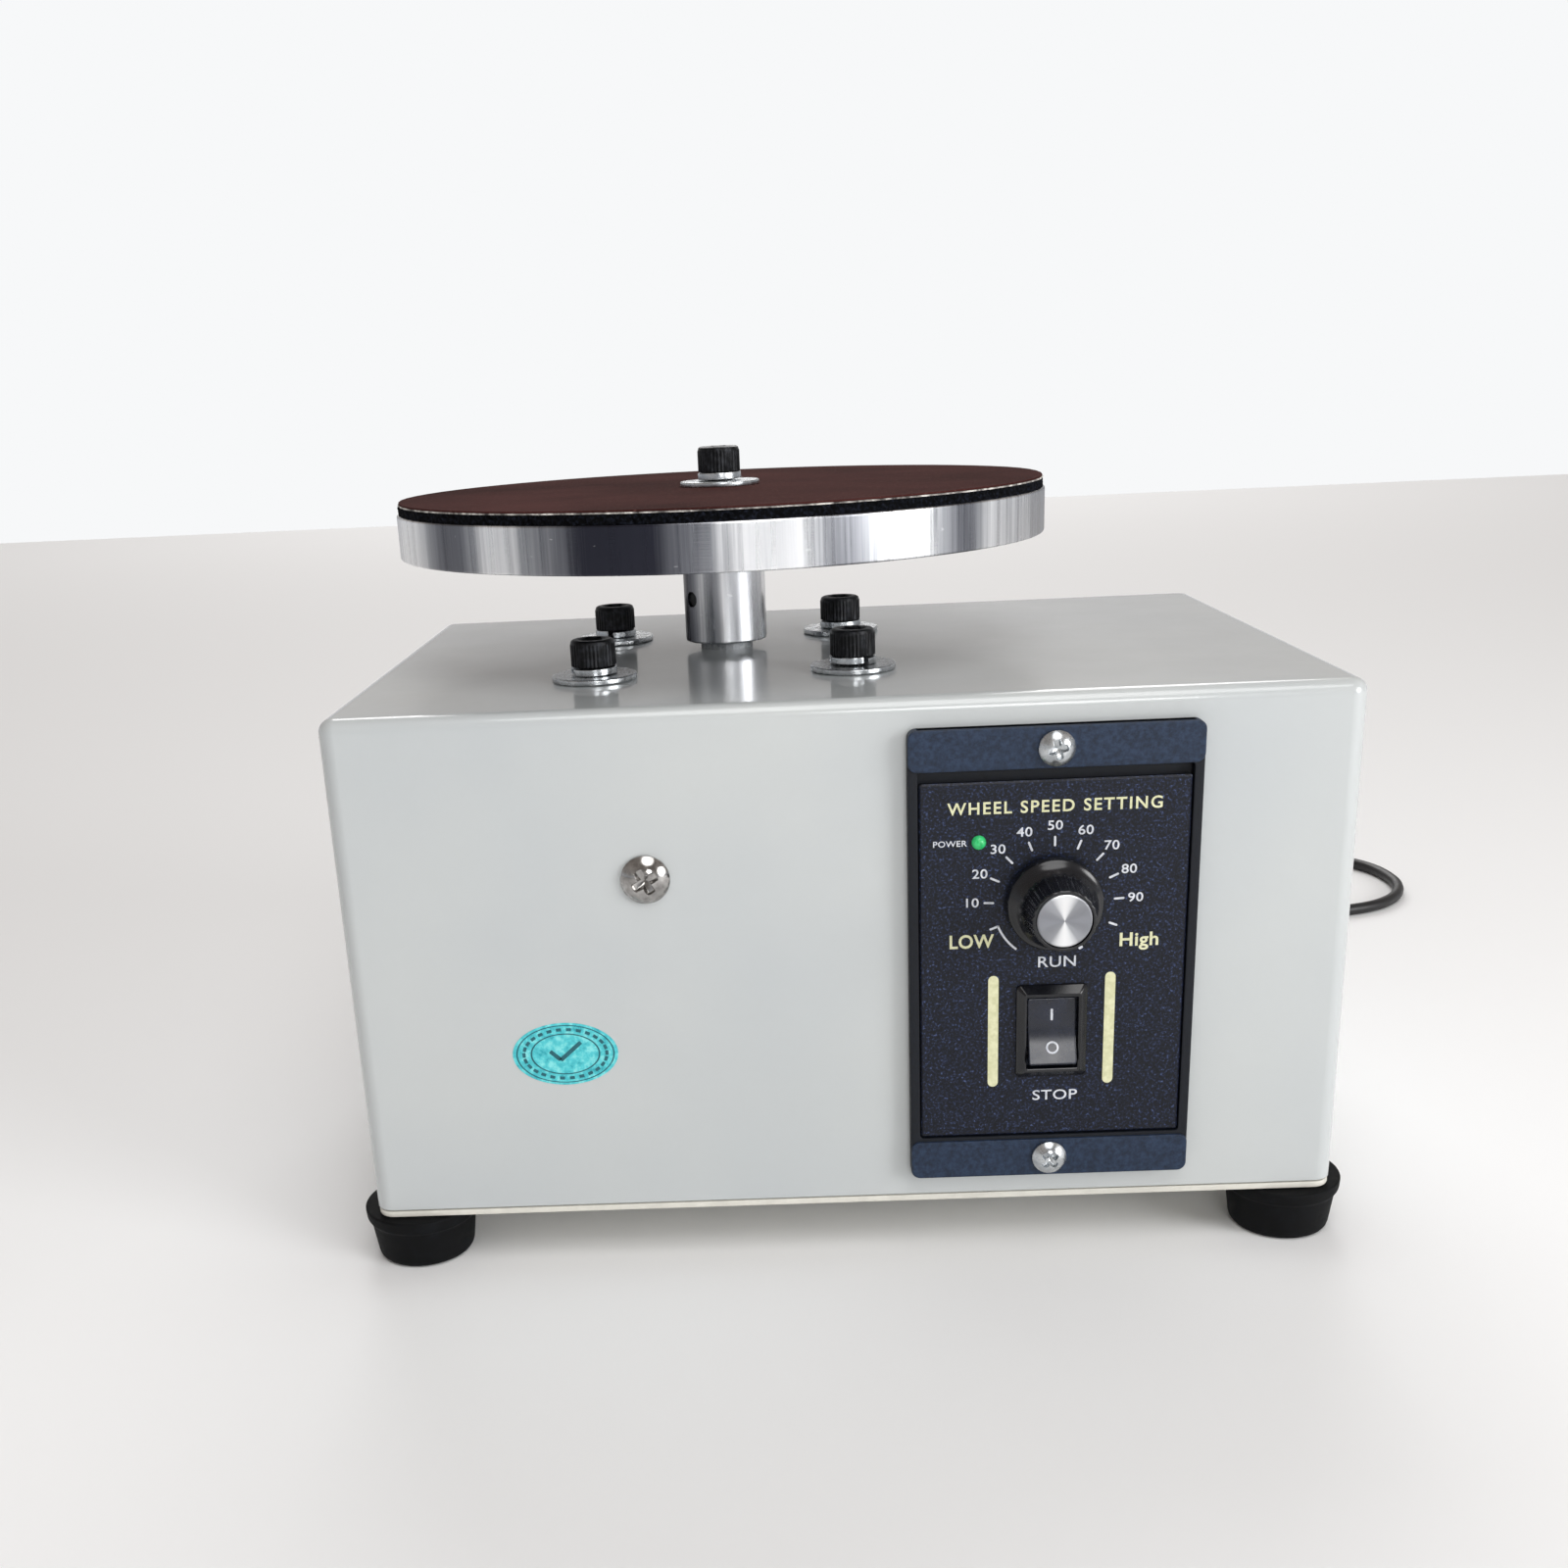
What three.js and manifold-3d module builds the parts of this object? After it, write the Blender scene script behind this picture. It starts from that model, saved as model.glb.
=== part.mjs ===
// A bench-top pottery turning wheel: a sheet-metal box that holds a gear motor and its speed
// controller, with a turned aluminium wheel head on the gearbox shaft. Millimetres, +Z up.
// The origin is on the surface the feet stand on, under the middle of the machine.
import * as THREE from "three";
import { mergeVertices } from "three/addons/utils/BufferGeometryUtils.js";
import Module from "manifold-3d";

const wasm = await Module();
wasm.setup();

// ---- Driving dimensions -------------------------------------------------------------------
const GAP = 0.3; // kept between pieces that rest on or fit into each other

// The box, measured from its own middle: x to the right, y to the back, z up from the table.
const BOX = { width: 214, depth: 146, bottom: 14.4, top: 126, sheet: 1.2, corner: 4, bend: 3 };
const LIP_WIDTH = 18; // the cover's inward lips, which the foot screws go through
const BASE = { bottom: 12.6, top: 14.1, inset: 0.2 };
const FOOT = { x: 98.5, y: 63, height: 12.3, topRadius: 13, bottomRadius: 11 };
const MIDDLE_Y = 3; // how far the box's middle lies behind the middle of the whole machine

// The gear motor: a 70 mm square frame with a screw at each corner of a 58 mm square.
const MOTOR = { x: -24, y: -6, frame: 70, screwSpacing: 58 };
const SHAFT_OFFSET = 12; // the output shaft lies this far behind the motor's own axis
const GEARBOX = { bottom: 92.6, top: 124.5, roomTop: 114, outputRoom: 18.2, layRoom: 14.4 };
const SPIGOT = { radius: 6.4, height: 1.5 }; // the housing's collar, which centres it in the cover
const FLANGE = { bottom: 84.3, top: 92.3, boss: 14, bossDepth: 3.8 };
const OUTPUT_BEARING = { inner: 5.1, outer: 13, bottom: 115, width: 8 };
const MOTOR_BEARING = { inner: 4.1, outer: 11, width: 7, upper: 81.2, lower: 20.3 };
const PIVOT_RADIUS = 3.1; // the plain holes that the lay shaft turns in
const CAN = { bottom: 24, radius: 34.5, wall: 2 };
const CORE = { bottom: 38, top: 72 }; // the stator's and the rotor's laminations

// Two pairs of spur gears, 12 to 30 teeth and 12 to 40 teeth: 8.33 turns of the motor to one.
const GEAR_MODULE = 0.8;
const TEETH = { pinion: 12, layGear: 30, outputGear: 40 };
const LOWER_GEARS = [96.5, 102.5];
const UPPER_GEARS = [105.5, 112.5];

// The wheel head, from the hub up.
const HUB = { radius: 10, bottom: 128 };
const DISC = { radius: 77, bottom: 152, top: 162 };
const PAD = { radius: 76.6, bottom: 162.3, top: 163.9 };
const SHEET = { radius: 76.8, bottom: 164.2, top: 164.8, pressedRadius: 9.9, pressedDepth: 0.2 };
const WASHER = { radius: 9.5, thickness: 1.2 };
const M6_HEAD = { radius: 5, height: 6, shank: 2.9, key: 2.9 };

// The speed controller in the front wall.
const PANEL = { x: 43.4, z: 69.8, width: 60, height: 100, thickness: 3, screwSpacing: 91 };
const PLATE = { width: 55.4, bottom: 29.6, top: 108.6, thickness: 0.7, recess: 0.6 };
const CASE = { width: 52, height: 78, depth: 58, wall: 1.5 };
const KNOB = { z: 82.7, skirtRadius: 10, tipRadius: 6.4, length: 12.1, shaftRadius: 3 };
const SWITCH = { z: 53.9, width: 15, height: 21, rockerWidth: 10, rockerHeight: 15.4, tilt: 12 };
const LAMP = { x: 27.9, z: 96, radius: 1.5 };
const FRONT_SCREW = { x: -41.3, z: 90.1, headRadius: 5.2 };

// The mains lead, which lies on the table behind the box.
const CORD = { radius: 2, lie: 2.05 };
const GLAND = { x: 92, z: 34, length: 26 };
const COIL = { x: 0, y: 165, middle: 22, halfWidth: 6, height: 12.2 };
const PLUG = { x: 43, y: 139, z: 8.3 };

const frontY = -BOX.depth / 2;
const backY = BOX.depth / 2;
const outputY = MOTOR.y + SHAFT_OFFSET;

const FINISH = {
  paint: { color: 0xc9cbc6, roughness: 0.25, metalness: 0 },
  plate: { color: 0xb9bcbb, roughness: 0.45, metalness: 0.6 },
  aluminium: { color: 0xc6c8ca, roughness: 0.3, metalness: 1 },
  steel: { color: 0x9a9da0, roughness: 0.35, metalness: 1 },
  blackOxide: { color: 0x1c1d20, roughness: 0.45, metalness: 0.7 },
  rubber: { color: 0x17181a, roughness: 0.8, metalness: 0 },
  grip: { color: 0x4d3130, roughness: 0.95, metalness: 0 },
  felt: { color: 0x141417, roughness: 1, metalness: 0 },
  black: { color: 0x20242e, roughness: 0.5, metalness: 0 },
  panel: { color: 0x2c3446, roughness: 0.5, metalness: 0 },
  castGrey: { color: 0x8f9295, roughness: 0.6, metalness: 0.6 },
  copper: { color: 0xa45a2a, roughness: 0.4, metalness: 0.9 },
  board: { color: 0x2f5b3a, roughness: 0.6, metalness: 0 },
  lamp: { color: 0x3fbf6a, roughness: 0.2, metalness: 0 },
};

// ---- Geometry helpers ---------------------------------------------------------------------
// A closed solid from any closed three.js geometry; one whose faces point in is turned out.
function solid(geometry) {
  const bare = geometry.index ? geometry.toNonIndexed() : geometry.clone();
  for (const name of ["normal", "uv"]) bare.deleteAttribute(name);
  const merged = mergeVertices(bare, 1e-4);
  const points = merged.attributes.position.array;
  const corners = [];
  for (let i = 0; i < merged.index.count; i += 3) {
    const [a, b, c] = merged.index.array.subarray(i, i + 3);
    if (a !== b && b !== c && a !== c) corners.push(a, b, c);
  }
  const make = (list) =>
    new wasm.Manifold(
      new wasm.Mesh({ numProp: 3, vertProperties: points, triVerts: new Uint32Array(list) }),
    );
  const made = make(corners);
  return made.volume() >= 0 ? made : make(corners.reverse());
}

function geometryOf(body) {
  const { numVert, numProp, vertProperties, triVerts } = body.getMesh();
  const points = new Float32Array(numVert * 3);
  for (let i = 0; i < numVert; i++) {
    points.set(vertProperties.subarray(i * numProp, i * numProp + 3), i * 3);
  }
  const geometry = new THREE.BufferGeometry();
  geometry.setAttribute("position", new THREE.BufferAttribute(points, 3));
  geometry.setIndex(new THREE.BufferAttribute(triVerts, 1));
  geometry.computeVertexNormals();
  return geometry;
}

const cut = (body, ...tools) => tools.reduce((left, tool) => left.subtract(tool), body);
const join = (body, ...others) => others.reduce((sum, other) => sum.add(other), body);

// A rectangle with round corners, about its middle.
function roundedShape(width, height, radius) {
  const [w, h] = [width / 2, height / 2];
  const shape = new THREE.Shape();
  shape.absarc(w - radius, h - radius, radius, 0, Math.PI / 2);
  shape.absarc(-w + radius, h - radius, radius, Math.PI / 2, Math.PI);
  shape.absarc(-w + radius, -h + radius, radius, Math.PI, Math.PI * 1.5);
  shape.absarc(w - radius, -h + radius, radius, Math.PI * 1.5, Math.PI * 2);
  return shape;
}

// A box from its lowest corner to its highest.
function block([x1, y1, z1], [x2, y2, z2]) {
  const geometry = new THREE.BoxGeometry(x2 - x1, y2 - y1, z2 - z1);
  return solid(geometry.translate((x1 + x2) / 2, (y1 + y2) / 2, (z1 + z2) / 2));
}

// A profile of [radius, height] points turned about an upright axis through x, y.
function turned(profile, x = 0, y = 0, segments = 24) {
  const points = profile.map(([r, z]) => new THREE.Vector2(r, z));
  const geometry = new THREE.LatheGeometry(points, segments);
  return solid(geometry.rotateX(Math.PI / 2).translate(x, y, 0));
}

const rod = (radius, bottom, top, x = 0, y = 0, segments = 24) =>
  turned([[0, bottom], [radius, bottom], [radius, top], [0, top]], x, y, segments);

const ring = (inner, outer, bottom, top, x = 0, y = 0, segments = 24) =>
  turned([[inner, bottom], [outer, bottom], [outer, top], [inner, top], [inner, bottom]], x, y, segments);

// The same, about an axis that runs front to back through x, z: heights become places along y.
function turnedAlongY(profile, x, z, segments = 24) {
  const points = profile.map(([r, y]) => new THREE.Vector2(r, y));
  return solid(new THREE.LatheGeometry(points, segments).translate(x, 0, z));
}

const rodAlongY = (radius, front, back, x, z, segments = 20) =>
  turnedAlongY([[0, front], [radius, front], [radius, back], [0, back]], x, z, segments);

// An upright prism on a flat outline, from one height to another.
function prism(shape, bottom, top, x = 0, y = 0, curveSegments = 4) {
  const options = { depth: top - bottom, bevelEnabled: false, curveSegments };
  return solid(new THREE.ExtrudeGeometry(shape, options).translate(x, y, bottom));
}

// A plate on an outline in the x-z plane, from its front face to its back face.
function plateAlongY(shape, front, back, x, z) {
  const options = { depth: back - front, bevelEnabled: false, curveSegments: 4 };
  const geometry = new THREE.ExtrudeGeometry(shape, options).rotateX(Math.PI / 2);
  return solid(geometry.translate(x, back, z));
}

// A round bar along a smooth curve through the points.
function tube(points, radius, steps, sides = 8) {
  const circle = new THREE.Shape().absarc(0, 0, radius, 0, Math.PI * 2);
  const path = new THREE.CatmullRomCurve3(points.map((p) => new THREE.Vector3(...p)));
  const options = { steps, extrudePath: path, curveSegments: sides / 2, bevelEnabled: false };
  return solid(new THREE.ExtrudeGeometry(circle, options));
}

// An involute spur gear: stub teeth with a little backlash, one tooth pointing along `turn`.
function gear(teeth, bottom, top, x, y, turn) {
  const pressure = THREE.MathUtils.degToRad(20);
  const pitch = (GEAR_MODULE * teeth) / 2;
  const base = pitch * Math.cos(pressure);
  const tip = pitch + 0.8 * GEAR_MODULE;
  const root = pitch - 1.05 * GEAR_MODULE;
  const involute = (r) => {
    const angle = Math.acos(Math.min(1, base / r));
    return Math.tan(angle) - angle;
  };
  const halfTooth = Math.PI / (2 * teeth) - 0.06 / pitch;
  const flank = [Math.max(base, root), pitch, tip].map((r) => ({
    r,
    angle: halfTooth + involute(pitch) - involute(r),
  }));
  const shape = new THREE.Shape();
  for (let i = 0; i < teeth; i++) {
    const middle = turn + (i * 2 * Math.PI) / teeth;
    const half = flank[0].angle;
    const outline = [
      { r: root, angle: -half },
      ...flank.map(({ r, angle }) => ({ r, angle: -angle })),
      ...flank.toReversed(),
      { r: root, angle: half },
    ];
    for (const [n, { r, angle }] of outline.entries()) {
      const at = [r * Math.cos(middle + angle), r * Math.sin(middle + angle)];
      if (i === 0 && n === 0) shape.moveTo(...at);
      else if (n === 0 || r !== outline[n - 1].r || angle !== outline[n - 1].angle) shape.lineTo(...at);
    }
  }
  return prism(shape, bottom, top, x, y);
}

// ---- The assembly -------------------------------------------------------------------------
const machine = new THREE.Group();
machine.position.y = MIDDLE_Y;

function add(name, body, finish) {
  const mesh = new THREE.Mesh(geometryOf(body), new THREE.MeshStandardMaterial(FINISH[finish]));
  mesh.name = name;
  machine.add(mesh);
}

const corners = [
  ["front_left", -1, -1],
  ["front_right", 1, -1],
  ["back_left", -1, 1],
  ["back_right", 1, 1],
];

// The cover: one folded sheet with round edges, open below, with a lip along each side.
function buildCover() {
  const shell = (inset, bottom) => {
    const bend = BOX.bend - inset;
    const outline = roundedShape(
      BOX.width - 2 * BOX.bend,
      BOX.depth - 2 * BOX.bend,
      BOX.corner - BOX.bend,
    );
    const depth = BOX.top - inset - bend - bottom;
    const options = {
      depth,
      bevelThickness: bend,
      bevelSize: bend,
      bevelSegments: 3,
      curveSegments: 3,
    };
    const whole = solid(new THREE.ExtrudeGeometry(outline, options).translate(0, 0, bottom));
    return cut(whole, block([-200, -200, -100], [200, 200, bottom]));
  };
  let cover = cut(shell(0, BOX.bottom), shell(BOX.sheet, BOX.bottom));
  const wall = BOX.width / 2 - BOX.sheet / 2;
  const lipDepth = BOX.depth / 2 - BOX.corner;
  for (const side of [-1, 1]) {
    const [a, b] = [side * wall, side * (wall - LIP_WIDTH)].sort((p, q) => p - q);
    cover = join(cover, block([a, -lipDepth, BOX.bottom], [b, lipDepth, BOX.bottom + BOX.sheet]));
  }
  const window = [CASE.width / 2 + GAP, CASE.height / 2 + GAP];
  cover = cut(
    cover,
    block(
      [PANEL.x - window[0], frontY - 1, PANEL.z - window[1]],
      [PANEL.x + window[0], frontY + 3, PANEL.z + window[1]],
    ),
    rod(7.1, BOX.top - 3, BOX.top + 1, MOTOR.x, outputY),
    rodAlongY(2.8, frontY - 1, frontY + 3, FRONT_SCREW.x, FRONT_SCREW.z, 16),
    rodAlongY(6.3, backY - 3, backY + 1, GLAND.x, GLAND.z),
  );
  for (const [, sx, sy] of corners) {
    const half = MOTOR.screwSpacing / 2;
    cover = cut(
      cover,
      rod(3.3, BOX.top - 3, BOX.top + 1, MOTOR.x + sx * half, MOTOR.y + sy * half, 16),
      rod(2.4, BOX.bottom - 1, BOX.bottom + 3, sx * FOOT.x, sy * FOOT.y, 12),
    );
  }
  for (const side of [-1, 1]) {
    const z = PANEL.z + (side * PANEL.screwSpacing) / 2;
    cover = cut(cover, rodAlongY(2.3, frontY - 1, frontY + 3, PANEL.x, z, 12));
  }
  add("housing_cover", cover, "paint");
}

function buildBase() {
  const outline = roundedShape(BOX.width - 2 * BASE.inset, BOX.depth - 2 * BASE.inset, BOX.corner);
  let plate = prism(outline, BASE.bottom, BASE.top);
  for (const [, sx, sy] of corners) {
    plate = cut(plate, rod(2.4, BASE.bottom - 1, BASE.top + 1, sx * FOOT.x, sy * FOOT.y, 12));
  }
  add("base_plate", plate, "plate");
  for (const [corner, sx, sy] of corners) {
    const foot = [
      [2.4, FOOT.height],
      [2.4, 5],
      [5.5, 5],
      [5.5, 0],
      [FOOT.bottomRadius - 0.8, 0],
      [FOOT.bottomRadius, 0.8],
      [FOOT.topRadius - 0.6, FOOT.height - 2.4],
      [FOOT.topRadius, FOOT.height - 2],
      [FOOT.topRadius, FOOT.height],
      [2.4, FOOT.height],
    ];
    const screw = [[0, 1.8], [4.2, 1.8], [4.2, 4.7], [2, 4.7], [2, 20], [0, 20]];
    add(`foot_${corner}`, turned(foot, sx * FOOT.x, sy * FOOT.y, 16), "rubber");
    add(`foot_screw_${corner}`, turned(screw, sx * FOOT.x, sy * FOOT.y, 12), "steel");
  }
}

// A socket-head cap screw whose head rests at a given height.
function capScrew(seat, length, x, y) {
  const { radius, height, shank, key } = M6_HEAD;
  const top = seat + height;
  const profile = [
    [0, seat - length],
    [shank, seat - length],
    [shank, seat],
    [radius, seat],
    [radius, top - 0.5],
    [radius - 0.5, top],
    [0, top],
  ];
  return cut(turned(profile, x, y, 18), rod(key, top - 3, top + 1, x, y, 6));
}

const washerAt = (bottom, x, y) => ring(3.2, WASHER.radius, bottom, bottom + WASHER.thickness, x, y);

function bearing(name, { inner, outer, width }, bottom, x, y) {
  const shield = inner + (outer - inner) * 0.3;
  const rim = inner + (outer - inner) * 0.75;
  const [low, high] = [bottom + 0.5, bottom + width - 0.5];
  const profile = [
    [inner, bottom],
    [shield, bottom],
    [shield, low],
    [rim, low],
    [rim, bottom],
    [outer, bottom],
    [outer, bottom + width],
    [rim, bottom + width],
    [rim, high],
    [shield, high],
    [shield, bottom + width],
    [inner, bottom + width],
    [inner, bottom],
  ];
  add(name, turned(profile, x, y, 16), "steel");
}

// Where the lay shaft stands: its distances to the motor and the output shaft are the two
// pairs' centre distances.
const toMotor = (GEAR_MODULE * (TEETH.pinion + TEETH.layGear)) / 2;
const toOutput = (GEAR_MODULE * (TEETH.pinion + TEETH.outputGear)) / 2;
const layBack = (toMotor ** 2 - toOutput ** 2 + SHAFT_OFFSET ** 2) / (2 * SHAFT_OFFSET);
const lay = { x: MOTOR.x + Math.sqrt(toMotor ** 2 - layBack ** 2), y: MOTOR.y + layBack };

function buildGearbox() {
  const half = MOTOR.screwSpacing / 2;
  const outline = () => roundedShape(MOTOR.frame, MOTOR.frame, 5);
  const top = GEARBOX.top;
  let housing = join(
    prism(outline(), GEARBOX.bottom, top, MOTOR.x, MOTOR.y),
    rod(SPIGOT.radius, top - 1, BOX.top + SPIGOT.height, MOTOR.x, outputY),
  );
  const { roomTop } = GEARBOX;
  const pocketTop = OUTPUT_BEARING.bottom + OUTPUT_BEARING.width + 0.2;
  housing = cut(
    housing,
    rod(GEARBOX.outputRoom, GEARBOX.bottom - 1, roomTop, MOTOR.x, outputY, 32),
    rod(GEARBOX.layRoom, GEARBOX.bottom - 1, roomTop, lay.x, lay.y, 28),
    rod(OUTPUT_BEARING.outer + 0.2, roomTop - 1, pocketTop, MOTOR.x, outputY),
    rod(OUTPUT_BEARING.inner + 0.2, pocketTop - 1, BOX.top + 5, MOTOR.x, outputY),
    rod(PIVOT_RADIUS, roomTop - 1, 119.5, lay.x, lay.y, 20),
  );
  for (const [, sx, sy] of corners) {
    housing = cut(housing, rod(3.2, 106, top + 1, MOTOR.x + sx * half, MOTOR.y + sy * half, 16));
  }
  add("gearbox_housing", housing, "castGrey");

  let flange = join(
    prism(outline(), FLANGE.bottom, FLANGE.top, MOTOR.x, MOTOR.y),
    rod(FLANGE.boss, FLANGE.bottom - FLANGE.bossDepth, FLANGE.bottom + 1, MOTOR.x, MOTOR.y),
  );
  const { inner, outer, width, upper } = MOTOR_BEARING;
  const seatTop = upper + width + 0.3;
  const pivotBottom = 89.2;
  flange = cut(
    flange,
    rod(outer + 0.2, upper - 2, seatTop, MOTOR.x, MOTOR.y),
    rod(inner + 0.2, seatTop - 1, FLANGE.top + 1, MOTOR.x, MOTOR.y, 20),
    rod(inner, pivotBottom, FLANGE.top + 1, MOTOR.x, outputY, 20),
    rod(PIVOT_RADIUS, pivotBottom, FLANGE.top + 1, lay.x, lay.y, 20),
  );
  add("motor_flange", flange, "castGrey");
  bearing("output_bearing", OUTPUT_BEARING, OUTPUT_BEARING.bottom, MOTOR.x, outputY);
  bearing("motor_bearing_upper", MOTOR_BEARING, upper, MOTOR.x, MOTOR.y);

  for (const [corner, sx, sy] of corners) {
    const [x, y] = [MOTOR.x + sx * half, MOTOR.y + sy * half];
    const washerBottom = BOX.top + 0.1;
    add(`motor_washer_${corner}`, washerAt(washerBottom, x, y), "steel");
    // The screw's head also rides on a split spring washer, 1.6 mm thick.
    const seat = washerBottom + WASHER.thickness + 1.8;
    add(`motor_screw_${corner}`, capScrew(seat, 20, x, y), "blackOxide");
  }
}

// Each driven gear points a tooth at its pinion, which has a tooth space facing it.
function buildGears() {
  const between = (from, to) => Math.atan2(to.y - from.y, to.x - from.x);
  const output = { x: MOTOR.x, y: outputY };
  const motor = { x: MOTOR.x, y: MOTOR.y };
  const space = Math.PI + Math.PI / TEETH.pinion;
  const [low, high] = [LOWER_GEARS, UPPER_GEARS];

  const layPinion = gear(TEETH.pinion, high[0], high[1], lay.x, lay.y, between(output, lay) + space);
  const layRod = rod(3, 89.6, 119.2, lay.x, lay.y, 20);
  add("layshaft", join(layPinion, layRod), "steel");
  const layGear = gear(TEETH.layGear, low[0], low[1], lay.x, lay.y, between(lay, motor));
  add("layshaft_gear", cut(layGear, rod(3.1, 90, 110, lay.x, lay.y, 20)), "steel");

  const motorPinion = gear(TEETH.pinion, low[0], low[1] + 0.8, motor.x, motor.y, between(lay, motor) + space);
  add("motor_shaft", join(motorPinion, rod(4, 18.6, low[0] + 1, motor.x, motor.y, 20)), "steel");

  const outputGear = gear(TEETH.outputGear, high[0], high[1], output.x, output.y, between(output, lay));
  add("output_gear", cut(outputGear, rod(5.1, 90, 130, output.x, output.y)), "steel");
}

function buildMotor() {
  const { x, y } = MOTOR;
  const canTop = FLANGE.bottom - GAP;
  add("motor_can", ring(CAN.radius - CAN.wall, CAN.radius, CAN.bottom, canTop, x, y, 36), "castGrey");
  const capTop = CAN.bottom - GAP;
  const capBottom = 17;
  const cap = join(rod(CAN.radius, capBottom, capTop, x, y, 36), rod(FLANGE.boss, capTop - 1, 28.5, x, y));
  const seat = rod(MOTOR_BEARING.outer + 0.2, MOTOR_BEARING.lower - GAP, 30, x, y);
  const shaftHole = rod(MOTOR_BEARING.inner + 0.2, capBottom + 1.2, 30, x, y, 20);
  add("motor_end_cap", cut(cap, seat, shaftHole), "castGrey");
  bearing("motor_bearing_lower", MOTOR_BEARING, MOTOR_BEARING.lower, x, y);

  // Laminations with twelve closed slots, and the copper that fills them and joins at both ends.
  const slots = 12;
  const [slotInner, slotOuter, slotWidth] = [20.5, 28.5, 4];
  const bars = Array.from({ length: slots }, (_, i) => (i * 2 * Math.PI) / slots);
  const barAt = (angle, trim, bottom, top) => {
    const length = slotOuter - slotInner - 2 * trim;
    const geometry = new THREE.BoxGeometry(length, slotWidth - 2 * trim, top - bottom);
    geometry.translate((slotInner + slotOuter) / 2, 0, (bottom + top) / 2);
    return solid(geometry.rotateZ(angle).translate(x, y, 0));
  };
  const { bottom, top } = CORE;
  const stator = ring(17.4, CAN.radius - CAN.wall - GAP, bottom, top, x, y, 36);
  add("motor_stator", cut(stator, ...bars.map((a) => barAt(a, 0, bottom - 1, top + 1))), "steel");
  const coilEnds = [bottom - 7.5, top + GAP].map((z) => ring(19.5, 29.5, z, z + 7.2, x, y));
  const winding = join(...coilEnds, ...bars.map((a) => barAt(a, GAP, bottom - 1, top + 1)));
  add("stator_winding", winding, "copper");
  const rotor = [
    [4.1, bottom - 3],
    [14.5, bottom - 3],
    [14.5, bottom],
    [16.9, bottom],
    [16.9, top],
    [14.5, top],
    [14.5, top + 3],
    [4.1, top + 3],
    [4.1, bottom - 3],
  ];
  add("rotor_core", turned(rotor, x, y, 28), "aluminium");

  // The run capacitor hangs by its lug behind the front wall.
  const inside = frontY + BOX.sheet + GAP;
  const { x: sx, z: sz } = FRONT_SCREW;
  const can = block([sx - 19, inside, sz - 38], [sx + 19, inside + 20, sz - 10]);
  const lug = block([sx - 6, inside, sz - 12], [sx + 6, inside + 2.2, sz + 6]);
  const hole = rodAlongY(2.8, inside - 1, inside + 4, sx, sz, 16);
  add("run_capacitor", cut(join(can, lug), hole), "black");
  const wallFace = frontY - 0.1;
  const head = [
    [0, wallFace - 2.8],
    [2.6, wallFace - 2.6],
    [4.4, wallFace - 1.7],
    [FRONT_SCREW.headRadius, wallFace - 0.4],
    [FRONT_SCREW.headRadius, wallFace],
    [2.4, wallFace],
    [2.4, wallFace + 9],
    [0, wallFace + 9],
  ];
  add("front_screw", turnedAlongY(head, sx, sz, 20), "steel");
}

function buildWheel() {
  const { x } = MOTOR;
  const y = outputY;
  const shaft = join(rod(5, 112.8, 148, x, y), rod(4, 89.6, 112.8, x, y, 20));
  const keyed = join(shaft, rod(4.95, UPPER_GEARS[0] - 0.5, 114, x, y));
  add("output_shaft", cut(keyed, rod(3.1, 136, 149, x, y, 16)), "steel");

  const spigot = DISC.top - 1;
  const hub = [
    [5.15, HUB.bottom],
    [HUB.radius - 0.5, HUB.bottom],
    [HUB.radius, HUB.bottom + 0.5],
    [HUB.radius, DISC.bottom - GAP],
    [8.2, DISC.bottom - GAP],
    [8.2, spigot],
    [3.2, spigot],
    [3.2, 148.5],
    [5.15, 148.5],
    [5.15, HUB.bottom],
  ];
  // The set screw comes in from the left and a little from the front.
  const grub = { height: 138.5, depth: 4, turn: 0.65, radius: 1.9 };
  const grubRod = (radius, length, out) => {
    const geometry = new THREE.CylinderGeometry(radius, radius, length, 12).rotateZ(Math.PI / 2);
    return solid(geometry.translate(-out, 0, 0).rotateZ(grub.turn).translate(x, y, grub.height));
  };
  const drilled = cut(turned(hub, x, y, 28), grubRod(grub.radius + 0.2, 12, HUB.radius));
  add("wheel_hub", drilled, "aluminium");
  add("hub_set_screw", grubRod(grub.radius, grub.depth, 7.4), "blackOxide");

  const disc = [
    [8.4, DISC.bottom],
    [DISC.radius - 0.6, DISC.bottom],
    [DISC.radius, DISC.bottom + 0.6],
    [DISC.radius, DISC.top - 0.6],
    [DISC.radius - 0.6, DISC.top],
    [8.4, DISC.top],
    [8.4, DISC.bottom],
  ];
  add("wheel_disc", turned(disc, x, y, 48), "aluminium");
  add("hook_pad", ring(3.6, PAD.radius, PAD.bottom, PAD.top, x, y, 48), "felt");
  // The washer presses the sheet down a little, so the rest of its face stands clear of the washer.
  const pressed = SHEET.top - SHEET.pressedDepth;
  const sheet = [
    [3.6, SHEET.bottom],
    [SHEET.radius, SHEET.bottom],
    [SHEET.radius, SHEET.top],
    [SHEET.pressedRadius, SHEET.top],
    [SHEET.pressedRadius, pressed],
    [3.6, pressed],
    [3.6, SHEET.bottom],
  ];
  add("grip_sheet", turned(sheet, x, y, 48), "grip");
  const washerBottom = pressed + 0.1;
  add("centre_washer", washerAt(washerBottom, x, y), "steel");
  add("centre_screw", capScrew(washerBottom + WASHER.thickness + 1.9, 28, x, y), "blackOxide");
}

// The controller: a moulded front that hangs in the wall by two flanges, a printed plate in its
// recess, and the knob, switch and lamp that come through both.
const faceY = frontY - GAP - PANEL.thickness; // the flanges' front
const plateFront = faceY + PLATE.recess;
const plateBack = plateFront + PLATE.thickness;

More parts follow.
